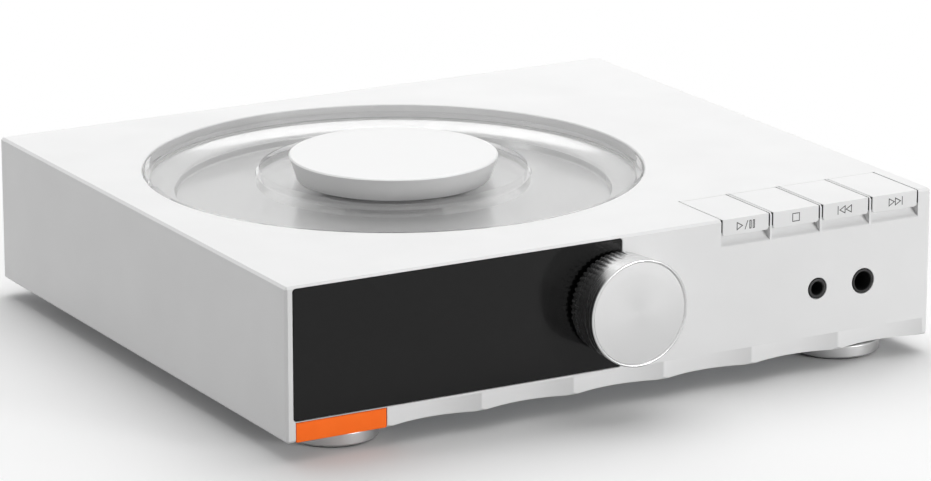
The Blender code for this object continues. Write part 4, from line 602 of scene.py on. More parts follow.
def as_object(name, solid, place=(0, 0, 0), tilt=0.0):
    """An object from a bmesh, tilted about X."""
    mesh = bpy.data.meshes.new(name)
    solid.to_mesh(mesh)
    solid.free()
    piece = bpy.data.objects.new(name, mesh)
    piece.location = place
    piece.rotation_euler = (tilt, 0, 0)
    bpy.context.scene.collection.objects.link(piece)
    return piece


def add_skin(solid, rings, closed=False):
    """Faces over rings of points. A ring of one point is a pole, and closed joins last to first."""
    loops = [[solid.verts.new(point) for point in ring] for ring in rings]
    pairs = list(zip(loops, loops[1:]))
    if closed:
        pairs.append((loops[-1], loops[0]))
    for loop, following in pairs:
        count = max(len(loop), len(following))
        for i in range(count):
            j = (i + 1) % count
            corners = [loop[i % len(loop)], loop[j % len(loop)],
                       following[j % len(following)], following[i % len(following)]]
            solid.faces.new(list(dict.fromkeys(corners)))
    if not closed:
        for end in (loops[0], loops[-1]):
            if len(end) > 2:
                solid.faces.new(end)
    bmesh.ops.recalc_face_normals(solid, faces=solid.faces)


def skinned(name, rings, closed=False, place=(0, 0, 0), tilt=0.0):
    """An object that is one such skin."""
    solid = bmesh.new()
    add_skin(solid, rings, closed)
    return as_object(name, solid, place, tilt)


def prism(name, outline, left, right):
    """A solid between two values of x, over an outline of (y, z) points."""
    return skinned(name, [[(x, y, z) for y, z in outline] for x in (left, right)])


def shares(steps):
    """Even steps from 0 to 1."""
    return [step / steps for step in range(steps + 1)]


def arc(middle, radius, start, turn, steps):
    """Points of an arc in a plane, from a start angle through a turn."""
    angles = [start + turn * step / steps for step in range(steps + 1)]
    return [(middle[0] + radius * math.cos(angle), middle[1] + radius * math.sin(angle)) for angle in angles]


def circle(radius, height, segments):
    """A ring of points about Z. A ring without a radius is a pole."""
    if radius == 0:
        return [(0, 0, height)]
    return [(x, y, height) for x, y in arc((0, 0), radius, 0, 2 * math.pi, segments)[:-1]]


# The tilt about X that turns a piece's own Z each way
UPWARD, DOWNWARD, TO_FRONT, TO_BACK = 0.0, math.pi, math.pi / 2, -math.pi / 2


def rod(radius, start, end):
    """The profile of a plain cylinder."""
    return [(0, start), (radius, start), (radius, end), (0, end)]


def tube(inside, outside, start, end):
    """The closed profile of a plain ring."""
    return [(inside, start), (outside, start), (outside, end), (inside, end)]


def mouth(radius, edge, depth):
    """The profile of a round hole down to a depth, with a chamfered mouth."""
    return [(0, OVERRUN), (radius + edge, OVERRUN), (radius + edge, 0), (radius, -edge), (radius, -depth),
            (0, -depth)]


def turned(name, profile, place, tilt=UPWARD, closed=False, segments=SMALL_SEGMENTS, soft=0.0):
    """A (radius, height) profile turned about its own Z, which is then tilted about X.

    Soft is how far its corners are rounded, and a closed profile joins its last point to its first.
    """
    profile = softened(profile, soft, closed) if soft else profile
    rings = [circle(radius, height, segments) for radius, height in profile]
    return skinned(name, rings, closed, place, tilt)


def softened(points, radius, closed=False):
    """The same run of points with its corners rounded. An open run keeps its two ends."""
    result = []
    last = len(points) - 1
    for i, point in enumerate(points):
        if not closed and i in (0, last):
            result.append(tuple(point))
            continue
        corner = Vector(point)
        before, after = Vector(points[i - 1]) - corner, Vector(points[(i + 1) % len(points)]) - corner
        reach = min(radius, before.length * LONGEST_SOFT_SHARE, after.length * LONGEST_SOFT_SHARE)
        start, end = before.normalized() * reach, after.normalized() * reach
        for share in shares(SOFT_STEPS):
            result.append(tuple(corner + start * (1 - share) ** 2 + end * share ** 2))
    return result


def block(name, low, high, edge=0.0, steps=SOFT_STEPS):
    """A box between two corners, with rounded edges where edge is given. One step is a chamfer."""
    low, high = Vector(low), Vector(high)
    solid = bmesh.new()
    bmesh.ops.create_cube(solid, size=1)
    bmesh.ops.scale(solid, vec=high - low, verts=solid.verts)
    bmesh.ops.translate(solid, vec=(low + high) / 2, verts=solid.verts)
    if edge:
        bmesh.ops.bevel(solid, geom=solid.edges[:], offset=edge, segments=steps, profile=0.5, affect="EDGES")
    return as_object(name, solid)


def rounded_rectangle(low, high, corner, grow=0.0, steps=CORNER_STEPS):
    """Outline between two corners of a plane, each corner a quarter circle."""
    left, bottom, right, top = low[0] - grow, low[1] - grow, high[0] + grow, high[1] + grow
    quarter = math.pi / 2
    middles = ((right - corner, bottom + corner), (right - corner, top - corner),
               (left + corner, top - corner), (left + corner, bottom + corner))
    points = []
    for turn, (x, y) in enumerate(middles, start=-1):
        for share in shares(steps):
            angle = (turn + share) * quarter
            points.append((x + corner * math.cos(angle), y + corner * math.sin(angle)))
    return points


def stacked(name, low, high, corner, levels):
    """A solid of rounded rectangles that face the front, each with its y and how much it is grown."""
    rings = []
    for y, grow in levels:
        outline = rounded_rectangle((low.x, low.z), (high.x, high.z), corner + grow, grow)
        rings.append([(x, y, z) for x, z in outline])
    return skinned(name, rings)


def combined(target, others, operation="DIFFERENCE"):
    """The target with other solids cut away from it or joined to it."""
    for other in others:
        step = target.modifiers.new(other.name, "BOOLEAN")
        step.operation = operation
        step.solver = "EXACT"
        step.object = other
    graph = bpy.context.evaluated_depsgraph_get()
    mesh = bpy.data.meshes.new_from_object(target.evaluated_get(graph))
    target.modifiers.clear()
    target.data = mesh
    for other in others:
        bpy.data.objects.remove(other)
    return target


def finish_piece(piece, look, body, slot, *nodes):
    """Gives a piece its material and smooth faces, and ties it to the frame."""
    piece.data.materials.clear()
    piece.data.materials.append(look)
    piece.data.shade_smooth()
    piece.data.set_sharp_from_angle(angle=SHARP_ANGLE)
    even = piece.modifiers.new("even_shading", "WEIGHTED_NORMAL")
    even.keep_sharp = True
    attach(piece, body)
    if nodes:
        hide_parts(*nodes)
    return piece


# Case

def build_case():
    """Top, sides and fluted front in one piece, hollow inside."""
    shell = block("case_shell", CASE_LOW, CASE_HIGH, CASE_EDGE_CHAMFER, 1)
    inner_x = CASE_HIGH.x - SIDE_THICKNESS
    inner_y = FRONT_Y + FRONT_THICKNESS
    combined(shell, [block("hollow", (-inner_x, inner_y, CASE_LOW.z - OVERRUN),
                           (inner_x, BACK_Y + OVERRUN, TOP_Z - TOP_THICKNESS))])
    combined(shell, case_posts(inner_x), "UNION")
    profile = mouth(WELL_RADIUS, WELL_EDGE_CHAMFER, TOP_THICKNESS + OVERRUN)
    opening = turned("well_opening", profile, WELL_TOP, segments=ROUND_SEGMENTS)
    combined(shell, [opening, *front_holes(), *flutes(), *key_slots()])
    finish_piece(shell, COAT, "case", "silver_paint", "housing")


def case_posts(inner_x):
    """Four square posts that take the screws of the bottom and rear plates."""
    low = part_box("base_plate")[0].z + BASE_THICKNESS + GAP
    top = TOP_Z - TOP_THICKNESS + OVERRUN
    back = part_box("rear_panel")[0].y - GAP - POST_SIZE
    posts = []
    for side in (-1, 1):
        left, right = sorted((side * (inner_x + OVERRUN), side * (inner_x - POST_SIZE)))
        for y in (FRONT_Y + POST_FRONT_INSET, back):
            posts.append(block("post", (left, y, low), (right, y + POST_SIZE, top)))
    return posts


def pocket(name, node, depth, corner, clearance):
    """A pocket in the front for a flush plate, with a fine chamfer round its mouth."""
    edge = POCKET_CHAMFER
    levels = ((FRONT_Y - OVERRUN, clearance + edge), (FRONT_Y, clearance + edge),
              (FRONT_Y + edge, clearance), (FRONT_Y + depth, clearance))
    return stacked(name, *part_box(node), corner, levels)


def front_holes():
    """Pockets and holes for the window, badge, display, knob and sockets."""
    window_low, window_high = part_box("display_window")
    badge_low, badge_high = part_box("badge_plate")
    window_depth = window_high.y - window_low.y + GAP
    badge_depth = badge_high.y - badge_low.y + GAP
    gap = WINDOW_CLEARANCE
    holes = [pocket("window_pocket", "display_window", window_depth, WINDOW_CORNER, gap)]
    holes.append(block("badge_pocket", (badge_low.x - gap, FRONT_Y - OVERRUN, CASE_LOW.z - OVERRUN),
                       (badge_high.x + gap, FRONT_Y + badge_depth, badge_high.z + gap)))
    screen_low, screen_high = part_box("display_module")
    border = DISPLAY_BOARD_BORDER
    holes.append(block("display_opening",
                       (screen_low.x + border - GAP, FRONT_Y, screen_low.z + border - GAP),
                       (screen_high.x - border + GAP, FRONT_Y + FRONT_THICKNESS + OVERRUN,
                        screen_high.z + GAP)))
    knob = middle_of("volume_knob")
    holes.append(through_front("bush_hole", knob.x, knob.z, BUSH_RADIUS + GAP, 0))
    for name, bezel, _ in SOCKETS:
        place = middle_of(name)
        holes.append(through_front(name + "_hole", place.x, place.z, bezel + GAP, POCKET_CHAMFER))
    return holes


def through_front(name, x, z, radius, edge):
    """A round hole through the front wall, chamfered at its mouth."""
    return turned(name, mouth(radius, edge, FRONT_THICKNESS + OVERRUN), (x, FRONT_Y, z), TO_FRONT)


def flutes():
    """Shallow scallops along the lower front, each a slice of a large cylinder."""
    half_pitch = FLUTE_PITCH / 2
    radius = (half_pitch ** 2 + FLUTE_DEPTH ** 2) / (2 * FLUTE_DEPTH)
    cutters = []
    for number in range(FLUTE_COUNT):
        place = (FLUTE_FIRST_X + FLUTE_PITCH * number, FRONT_Y - radius + FLUTE_DEPTH, CASE_LOW.z)
        cutters.append(turned("flute_%d" % number, rod(radius, -OVERRUN, FLUTE_HEIGHT), place,
                              segments=FLUTE_SEGMENTS))
    return cutters


def key_slots():
    """A slot round each key, a sloping finger recess under its lip and a small relief at each end."""
    cutters = []
    low_z = TOP_Z - TOP_THICKNESS - OVERRUN
    lowest = TOP_Z - KEY_RECESS_DROP - KEY_RECESS_EDGE
    slope = [(FRONT_Y + KEY_RECESS_DEPTH * share,
              TOP_Z - KEY_RECESS_DROP + KEY_RECESS_RISE * share ** KEY_RECESS_CURVE)
             for share in shares(KEY_RECESS_STEPS)[1:]]
    sill_z, sill_back = TOP_Z - KEY_SILL_DROP, FRONT_Y + FRONT_THICKNESS + OVERRUN
    for name in KEYS:
        low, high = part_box("key_" + name)
        left, right, back = low.x - KEY_SIDE_GAP, high.x + KEY_SIDE_GAP, high.y + KEY_BACK_GAP
        outline = [(FRONT_Y - OVERRUN, TOP_Z + OVERRUN), (FRONT_Y - OVERRUN, lowest), (FRONT_Y, lowest),
                   *slope, (slope[-1][0], sill_z), (sill_back, sill_z), (sill_back, low_z), (back, low_z),
                   (back, TOP_Z + OVERRUN)]
        cutters.append(prism("slot_" + name, outline, left, right))
        for x in (left + KEY_SIDE_GAP / 2, right - KEY_SIDE_GAP / 2):
            cutters.append(turned("relief", rod(KEY_RELIEF_RADIUS, OVERRUN, low_z - TOP_Z),
                                  (x, back - KEY_BACK_GAP, TOP_Z), segments=FINE_SEGMENTS))
    return cutters


def flush_plate(name, node, corner, edge):
    """A thin plate in the front with softened edges, in place of its node."""
    low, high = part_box(node)
    return stacked(name, low, high, corner, ((low.y, -edge), (low.y + edge, 0.0), (high.y, 0.0)))


def build_front_trim():
    """The flush window with its notch for the knob's bush, and the bare badge plate."""
    window = flush_plate("display_glass", "display_window", WINDOW_CORNER, WINDOW_SOFT_EDGE)
    knob = middle_of("volume_knob")
    combined(window, [through_front("window_notch", knob.x, knob.z, BUSH_RADIUS + GAP, 0)])
    finish_piece(window, GLASS, "case", "window_glass", "display_window")
    badge = flush_plate("bare_badge", "badge_plate", BADGE_CORNER, BADGE_SOFT_EDGE)
    finish_piece(badge, ENAMEL, "case", "orange_plate", "badge_plate")


# Well, cover and clamp

def build_well():
    """The turned dish: flange, cove, step and floor, with the lens slot and the damper pins."""
    seat_drop = TOP_THICKNESS + WELL_SEAT_GAP
    cove = [(WELL_STEP_RADIUS + (WELL_SEAT_RADIUS - WELL_STEP_RADIUS) * share,
             -WELL_STEP_DROP + (WELL_STEP_DROP - seat_drop) * share ** 2) for share in shares(COVE_STEPS)]
    edge = WELL_SOFT_EDGE
    top_side = [(WELL_HUB_RADIUS, -WELL_FLOOR_DROP - edge), (WELL_HUB_RADIUS + edge, -WELL_FLOOR_DROP),
                (WELL_STEP_RADIUS - WELL_DRAFT - 2 * edge, -WELL_FLOOR_DROP),
                (WELL_STEP_RADIUS - WELL_DRAFT, -WELL_FLOOR_DROP + 2 * edge),
                (WELL_STEP_RADIUS - edge, -WELL_STEP_DROP - edge)]
    under = -WELL_FLOOR_DROP - WELL_SHELL
    low_side = [(WELL_FLANGE_RADIUS, -seat_drop), (WELL_FLANGE_RADIUS, -seat_drop - WELL_SHELL),
                (WELL_STEP_RADIUS + WELL_SHELL, -WELL_STEP_DROP - WELL_SHELL),
                (WELL_STEP_RADIUS, under), (WELL_HUB_RADIUS, under)]
    well = turned("disc_well_dish", top_side + cove + low_side, WELL_TOP, closed=True,
                  segments=ROUND_SEGMENTS)
    combined(well, damper_posts(), "UNION")
    half = LENS_SLOT_WIDTH / 2
    outline = rounded_rectangle((WELL_X - half, WELL_Y + LENS_SLOT_START),
                                (WELL_X + half, WELL_Y + LENS_SLOT_END), half - GAP, steps=2 * CORNER_STEPS)
    slot_ends = (TOP_Z + under - OVERRUN, TOP_Z - WELL_FLOOR_DROP + OVERRUN)
    combined(well, [skinned("lens_slot", [[(x, y, z) for x, y in outline] for z in slot_ends])])
    finish_piece(well, WELL_COAT_AND_SHADE, "case", "silver_paint", "disc_well")


def damper_posts():
    posts = []
    root = -WELL_FLOOR_DROP - GAP
    for name in DAMPERS:
        place = middle_of(name)
        profile = [(0, root), (DAMPER_SHOULDER_RADIUS, root),
                   (DAMPER_SHOULDER_RADIUS, -DAMPER_SHOULDER_DROP),
                   (DAMPER_PIN_RADIUS, -DAMPER_SHOULDER_DROP), (DAMPER_PIN_RADIUS, -DAMPER_PIN_DROP),
                   (0, -DAMPER_PIN_DROP)]
        posts.append(turned("damper_post", profile, (place.x, place.y, TOP_Z), segments=FINE_SEGMENTS))
    return posts


def build_cover():
    """The clear cover: a turned disc with a rim below and a flat-bottomed dish in its middle."""
    under = COVER_DISH_DROP + COVER_THICKNESS
    rim_inside = COVER_RADIUS - COVER_RIM_WIDTH
    dish_outside = COVER_DISH_RADIUS + COVER_DISH_WALL
    profile = [(COVER_HOLE_RADIUS, -COVER_DISH_DROP), (COVER_DISH_RADIUS, -COVER_DISH_DROP),
               (COVER_DISH_RADIUS, 0), (COVER_RADIUS, 0), (COVER_RADIUS, -TOP_THICKNESS),
               (rim_inside, -TOP_THICKNESS), (rim_inside, -COVER_THICKNESS),
               (dish_outside, -COVER_THICKNESS), (dish_outside, -under), (COVER_HOLE_RADIUS, -under)]
    cover = turned("clear_cover", profile, WELL_TOP, closed=True, segments=ROUND_SEGMENTS,
                   soft=COVER_SOFT_EDGE)
    finish_piece(cover, ACRYLIC, "cover_body", "clear_acrylic", "cover")


def build_puck():
    """The turned puck that lifts the cover: flared side, chamfered top and hollow base."""
    low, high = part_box("cover_knob")
    radius, top, pin_end = radius_of("cover_knob"), high.z - TOP_Z, low.z - TOP_Z
    profile = [(0, top), (radius - PUCK_CHAMFER, top), (radius, top - PUCK_CHAMFER),
               (PUCK_BASE_RADIUS, -PUCK_BASE_DROP), (PUCK_HOLLOW_RADIUS, -PUCK_BASE_DROP),
               (PUCK_HOLLOW_RADIUS, PUCK_ROOF), (PUCK_PIN_RADIUS, PUCK_ROOF), (PUCK_PIN_RADIUS, pin_end),
               (0, pin_end)]
    puck = turned("cover_puck", profile, WELL_TOP, segments=ROUND_SEGMENTS, soft=PUCK_SOFT_EDGE)
    finish_piece(puck, PUCK_METAL, "cover_body", "turned_aluminium", "cover_knob")


def build_clamp():
    """The black moulded clamp that hangs from the puck and holds the magnet."""
    low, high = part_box("disc_clamp")
    base, top = low.z - TOP_Z, high.z - TOP_Z
    flange_low = top - CLAMP_FLANGE_THICKNESS
    seat = CLAMP_RADIUS - CLAMP_SEAT_WIDTH
    face = base + CLAMP_SEAT_STEP
    roof = face + MAGNET_POCKET_DEPTH
    profile = [(CLAMP_BORE_RADIUS, top), (CLAMP_FLANGE_RADIUS, top), (CLAMP_FLANGE_RADIUS, flange_low),
               (CLAMP_RADIUS, flange_low), (CLAMP_RADIUS, base), (seat, base),
               (seat - CLAMP_SEAT_STEP, face), (MAGNET_POCKET_RADIUS, face), (MAGNET_POCKET_RADIUS, roof),
               (CLAMP_BORE_RADIUS, roof)]
    clamp = turned("clamp_disc", profile, WELL_TOP, closed=True, soft=MOULDED_SOFT_EDGE)
    finish_piece(clamp, BLACK, "clamp_body", "black_plastic", "disc_clamp")


def build_turntable():
    """The disc hub with its centring cone, and the rubber ring that the disc rests on."""
    low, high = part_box("turntable_hub")
    cone_top, shaft_low = high.z - TOP_Z, low.z - TOP_Z
    seat = cone_top - HUB_CONE_HEIGHT
    hub_low = seat - HUB_THICKNESS
    neck_low = hub_low - HUB_NECK_LENGTH
    groove = seat - SEAT_RING_THICKNESS
    profile = [(0, cone_top), (HUB_CONE_TOP_RADIUS, cone_top), (HUB_CONE_RADIUS, seat),
               (SEAT_RING_INSIDE - CONTACT_GAP, seat), (SEAT_RING_INSIDE - CONTACT_GAP, groove),
               (SEAT_RING_OUTSIDE + CONTACT_GAP, groove), (SEAT_RING_OUTSIDE + CONTACT_GAP, seat),
               (HUB_RADIUS, seat), (HUB_RADIUS, hub_low), (HUB_NECK_RADIUS, hub_low),
               (HUB_NECK_RADIUS, neck_low), (SPINDLE_RADIUS, neck_low), (SPINDLE_RADIUS, shaft_low),
               (0, shaft_low)]
    hub = turned("disc_hub", profile, WELL_TOP, soft=MOULDED_SOFT_EDGE)
    finish_piece(hub, BLACK, "turntable", "black_plastic", "turntable_hub")
    profile = tube(SEAT_RING_INSIDE, SEAT_RING_OUTSIDE, seat - SEAT_RING_DROP, groove + CONTACT_GAP)
    ring = turned("hub_seat_ring", profile, WELL_TOP, closed=True)
    finish_piece(ring, RUBBER, "turntable", "rubber")


def build_lens():
    """The objective lens in its round holder."""
    radius, rim = radius_of("pickup_lens"), LENS_HOLDER_HEIGHT
    place = (*middle_of("pickup_lens").xy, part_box("pickup_lens")[0].z)
    recess = LENS_RADIUS + CONTACT_GAP
    profile = [(0, 0), (radius, 0), (radius, rim), (recess, rim), (recess, rim / 2), (0, rim / 2)]
    holder = turned("lens_holder", profile, place, soft=MOULDED_SOFT_EDGE)
    finish_piece(holder, BLACK, "lens", "lens", "pickup_lens")
    dome = [(0, rim / 2 + CONTACT_GAP), (LENS_RADIUS, rim / 2 + CONTACT_GAP), (LENS_RADIUS, rim)]
    for share in shares(DOME_STEPS)[1:]:
        turn = math.pi / 2 * share
        dome.append((LENS_RADIUS * math.cos(turn) if share < 1 else 0, rim + LENS_RISE * math.sin(turn)))
    glass = turned("objective_lens", dome, place)
    finish_piece(glass, LENS, "lens", "lens")


# Controls and front sockets

def ribbed_ring(radius, rib_depth, height):
    """A ring of the knob, its ribs rounded with narrow grooves between them."""
    points = []
    count = KNOB_RIBS * KNOB_POINTS_PER_RIB
    for i in range(count):
        turn = 2 * math.pi * i / count
        swing = abs(math.sin(turn * KNOB_RIBS / 2))
        reach = radius - rib_depth * (1 - swing ** RIB_FULLNESS)
        points.append((reach * math.cos(turn), reach * math.sin(turn), height))
    return points


def build_knob():
    """The slightly flared knob, ribbed towards its back, with a raised rim and a turned face."""
    low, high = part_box("volume_knob")
    centre, radius = middle_of("volume_knob"), radius_of("volume_knob")
    length, back = high.y - low.y, KNOB_BACK_INSET
    shoulder = length - KNOB_RIM / 2
    face = length - KNOB_FACE_DISH
    levels = [(0, KNOB_BORE_DEPTH, 0), (KNOB_BORE_RADIUS, KNOB_BORE_DEPTH, 0),
              (KNOB_BORE_RADIUS, KNOB_CAVITY_DEPTH, 0), (KNOB_CAVITY_RADIUS, KNOB_CAVITY_DEPTH, 0),
              (KNOB_CAVITY_RADIUS, back, 0), (KNOB_BASE_RADIUS - KNOB_BACK_CHAMFER, back, KNOB_RIB_DEPTH)]
    for share in shares(RIB_LEVELS):
        levels.append((KNOB_BASE_RADIUS + (radius - KNOB_BASE_RADIUS) * share,
                       back + KNOB_BACK_CHAMFER + (shoulder - back - KNOB_BACK_CHAMFER) * share,
                       KNOB_RIB_DEPTH * max(0, 1 - share / RIB_REACH_SHARE)))
    seat, disc_radius = face - KNOB_DISC_THICKNESS, radius - KNOB_RIM - KNOB_FACE_DISH
    front = [(radius, shoulder), (radius - KNOB_RIM / 2, length), (radius - KNOB_RIM, length),
             (disc_radius, face), (disc_radius, seat), (0, seat)]
    levels += [(reach, height, 0) for reach, height in softened(front, KNOB_SOFT_EDGE)]
    rings = [ribbed_ring(reach, depth, height) if reach else [(0, 0, height)]
             for reach, height, depth in levels]
    place = (centre.x, high.y, centre.z)
    knob = skinned("volume_knob_turned", rings, place=place, tilt=TO_FRONT)
    finish_piece(knob, KNOB_METAL, "knob", "turned_aluminium", "volume_knob")
    profile = [(0, seat), (disc_radius, seat)]
    for share in reversed(shares(DOME_STEPS)):
        profile.append((disc_radius * share, face + KNOB_FACE_DOME * (1 - share ** 2)))
    disc = turned("volume_knob_face", profile, place, tilt=TO_FRONT, segments=ROUND_SEGMENTS)
    finish_piece(disc, KNOB_FACE_METAL, "knob", "turned_aluminium")


def build_key(name):
    """A key: a slab bent down in front with rounded lower corners, its nub and its bored lug."""
    low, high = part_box("key_" + name)
    left, right, back = low.x, high.x, high.y
    under, lip_back, lip_low = TOP_Z - KEY_THICKNESS, FRONT_Y + KEY_LIP_THICKNESS, TOP_Z - KEY_LIP_HEIGHT
    outline = [(FRONT_Y, TOP_Z), (FRONT_Y, lip_low), (lip_back, lip_low), (lip_back, under), (back, under),
               (back, TOP_Z)]
    key = prism("key_cap_" + name, outline, left, right)
    round_key(key.data, lip_low)
    root, side = under + GAP, KEY_NUB_WIDTH / 2
    nub_y = FRONT_Y + KEY_NUB_LENGTH
    nub = block("nub", (left + side, nub_y - side, TOP_Z - KEY_NUB_DROP), (right - side, nub_y + side, root))
    pivot = (FRONT_Y + KEY_PIVOT_LENGTH, TOP_Z - KEY_PIVOT_DROP)
    lug = arc(pivot, KEY_LUG_RADIUS, -math.pi, math.pi, LUG_STEPS)
    lug = [(lug[0][0], root)] + lug + [(lug[-1][0], root)]
    lug = prism("lug", lug, left + GAP, right - GAP)
    combined(key, [nub, lug], "UNION")
    bore = arc(pivot, KEY_BORE_RADIUS, 0, 2 * math.pi, FINE_SEGMENTS)[:-1]
    combined(key, [prism("bore", bore, left - OVERRUN, right + OVERRUN)])
    finish_piece(key, COAT, "key_" + name, "silver_paint", "key_" + name)


def build_key_gap_shade_strips(name):
    """Thin black strips on both sides of a key's lip and of its slot, which paint shade into the gaps."""
    low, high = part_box("key_" + name)
    near, far = FRONT_Y + KEY_SHADE_STRIP_INSET, FRONT_Y + KEY_LIP_THICKNESS - KEY_SHADE_STRIP_INSET
    foot, top = TOP_Z - KEY_LIP_HEIGHT + KEY_CORNER, TOP_Z - KEY_SHADE_STRIP_INSET
    lefts = {"key_" + name: (low.x - KEY_SHADE_STRIP_THICKNESS, high.x),
             "case": (low.x - KEY_SIDE_GAP, high.x + KEY_SIDE_GAP - KEY_SHADE_STRIP_THICKNESS)}
    # Each strip is a black sheet standing in for the shade deep in the gap
    for body, edges in lefts.items():
        first, second = [block("key_gap_shade_strip_" + name + "_" + body, (x, near, foot),
                               (x + KEY_SHADE_STRIP_THICKNESS, far, top)) for x in edges]
        combined(first, [second], "UNION")
        finish_piece(first, RUBBER, body, "rubber")


def round_key(mesh, lip_low):
    """Rounds the lip's two lower corners, then takes the sharpness off the outer edges."""
    solid = bmesh.new()
    solid.from_mesh(mesh)
    corners = [edge for edge in solid.edges
               if all(abs(vert.co.z - lip_low) < GAP for vert in edge.verts)
               and abs(edge.verts[0].co.x - edge.verts[1].co.x) < GAP]
    bmesh.ops.bevel(solid, geom=corners, offset=KEY_CORNER, segments=KEY_CORNER_STEPS, profile=0.5,
                    affect="EDGES")
    sharp = [edge for edge in solid.edges
             if edge.calc_face_angle() > SHARP_ANGLE
             and all(vert.co.z > TOP_Z - GAP or vert.co.y < FRONT_Y + GAP for vert in edge.verts)]
    bmesh.ops.bevel(solid, geom=sharp, offset=KEY_EDGE_ROUND, segments=KEY_EDGE_STEPS, profile=0.5,
                    affect="EDGES")
    solid.to_mesh(mesh)
    solid.free()


def inner_outline(corners, stroke):
    """The inner side of a line of this width that is drawn inside a closed outline."""
    inside = []
    for i, corner in enumerate(corners):
        corner = Vector(corner)
        before = (corner - Vector(corners[i - 1])).normalized()
        after = (Vector(corners[(i + 1) % len(corners)]) - corner).normalized()
        inner_before, inner_after = Vector((-before.y, before.x)), Vector((-after.y, after.x))
        bisector = (inner_before + inner_after).normalized()
        inside.append(tuple(corner + bisector * (stroke / bisector.dot(inner_after))))
    return inside


def sign_shapes(name):
    """Closed outlines, counter-clockwise, of a key's generic sign, and the bars that are filled."""
    half, width, bar = SIGN_HEIGHT / 2, SIGN_HEIGHT * ARROW_WIDTH_SHARE, SIGN_STROKE

    def arrow(x, way):
        points = [(x, -half), (x + way * width, 0), (x, half)]
        return points if way > 0 else points[::-1]

    def upright(x, breadth, lean=0.0):
        return [(x - lean, -half), (x + breadth - lean, -half), (x + breadth + lean, half), (x + lean, half)]

    if name == "play":
        return ([arrow(PLAY_ARROW_START, 1), *(upright(x, PAUSE_BAR_WIDTH) for x in PAUSE_BAR_STARTS)],
                [upright(PLAY_SLASH_START, bar, PLAY_SLASH_LEAN)])
    if name == "stop":
        return [[(-half, -half), (half, -half), (half, half), (-half, half)]], []
    start = ARROW_START
    if name == "previous":
        return [arrow(-start, -1), arrow(-start + width, -1)], [upright(-start - width - 2 * bar, bar)]
    return [arrow(start - width, 1), arrow(start, 1)], [upright(start + width + bar, bar)]


def build_sign(name):
    """The thin printed sign on a key's front lip."""
    x, z = middle_of("key_" + name).x, TOP_Z - KEY_LIP_HEIGHT / 2
    front, back = FRONT_Y - SIGN_PROUD, FRONT_Y + SIGN_SINK

    def on_lip(outline, y):
        return [(x + across, y, z + up) for across, up in outline]

    solid = bmesh.new()
    frames, bars = sign_shapes(name)
    for outer in frames:
        inner = inner_outline(outer, SIGN_STROKE)
        add_skin(solid, [on_lip(outer, front), on_lip(inner, front), on_lip(inner, back),
                         on_lip(outer, back)], closed=True)
    for bar in bars:
        add_skin(solid, [on_lip(bar, front), on_lip(bar, back)])
    finish_piece(as_object("key_sign_" + name, solid), INK, "key_" + name, "black_plastic")


def build_front_sockets():
    """Two headphone sockets: moulded body, soft bezel, bore and a contact ring inside."""
    for name, bezel, bore in SOCKETS:
        low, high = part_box(name)
        place = middle_of(name)
        place.y = FRONT_Y
        body_front = FRONT_Y + FRONT_THICKNESS + GAP
        body = block(name + "_body", (low.x, body_front, low.z), high, SOCKET_BODY_ROUND)
        ring = turned("bezel", rod(bezel, FRONT_Y - body_front - GAP, 0), place, TO_FRONT,
                      soft=SOCKET_EDGE_ROUND)
        combined(body, [ring], "UNION")
        hole = mouth(bore, SOCKET_EDGE_ROUND, SOCKET_BORE_DEPTH)
        combined(body, [turned("bore", hole, place, TO_FRONT)])
        finish_piece(body, BLACK, "case", "black_plastic", name)
        profile = tube(bore - CONTACT_THICKNESS, bore - CONTACT_GAP, -CONTACT_DEPTH,
                       -CONTACT_DEPTH - CONTACT_LENGTH)
        contact = turned(name + "_contact", profile, place, TO_FRONT, closed=True, soft=PLATED_SOFT_EDGE)
        finish_piece(contact, NICKEL, "case", "steel")


# Feet

def build_feet():
    """Turned feet, each with a rubber pad let into its base."""
    for end in ("front", "back"):
        for side in ("left", "right"):
            build_foot("%s_%s" % (end, side))


def build_foot(corner):
    top, pad_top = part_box("foot_" + corner)[1].z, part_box("foot_pad_" + corner)[1].z
    radius, pad_radius = radius_of("foot_" + corner), radius_of("foot_pad_" + corner)
    place = (*middle_of("foot_" + corner).xy, 0)
    hole, hole_top = pad_radius + GAP, pad_top + GAP
    profile = [(0, top), (FOOT_NECK_RADIUS, top), (FOOT_NECK_RADIUS, FOOT_SHOULDER_Z),
               (radius - FOOT_CHAMFER, FOOT_SHOULDER_Z), (radius, FOOT_SHOULDER_Z - FOOT_CHAMFER),
               (radius, FOOT_PAD_PROUD + FOOT_CHAMFER), (radius - FOOT_CHAMFER, FOOT_PAD_PROUD),
               (hole, FOOT_PAD_PROUD), (hole, hole_top), (0, hole_top)]
    foot = turned("turned_foot_" + corner, profile, place, segments=ROUND_SEGMENTS, soft=FOOT_SOFT_EDGE)
    finish_piece(foot, FOOT_METAL_AND_SHADE, "case", "turned_aluminium", "foot_" + corner)
    pad = turned("rubber_pad_" + corner, rod(pad_radius, 0, pad_top), place, segments=ROUND_SEGMENTS,
                 soft=PAD_SOFT_EDGE)
    finish_piece(pad, RUBBER, "case", "rubber", "foot_pad_" + corner)


# Rear

def panel_window(node, grow, corner):
    """A hole through the rear panel round a node's outline, grown or shrunk."""
    low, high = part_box(node)
    panel_low, panel_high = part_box("rear_panel")
    levels = ((panel_low.y - OVERRUN, grow), (panel_high.y + OVERRUN, grow))
    return stacked(node + "_hole", low, high, corner - grow, levels)


def line_places():
    middle = middle_of("line_sockets")
    return [(middle.x + LINE_PITCH * number, middle.z) for number in (-1, 0, 1)]


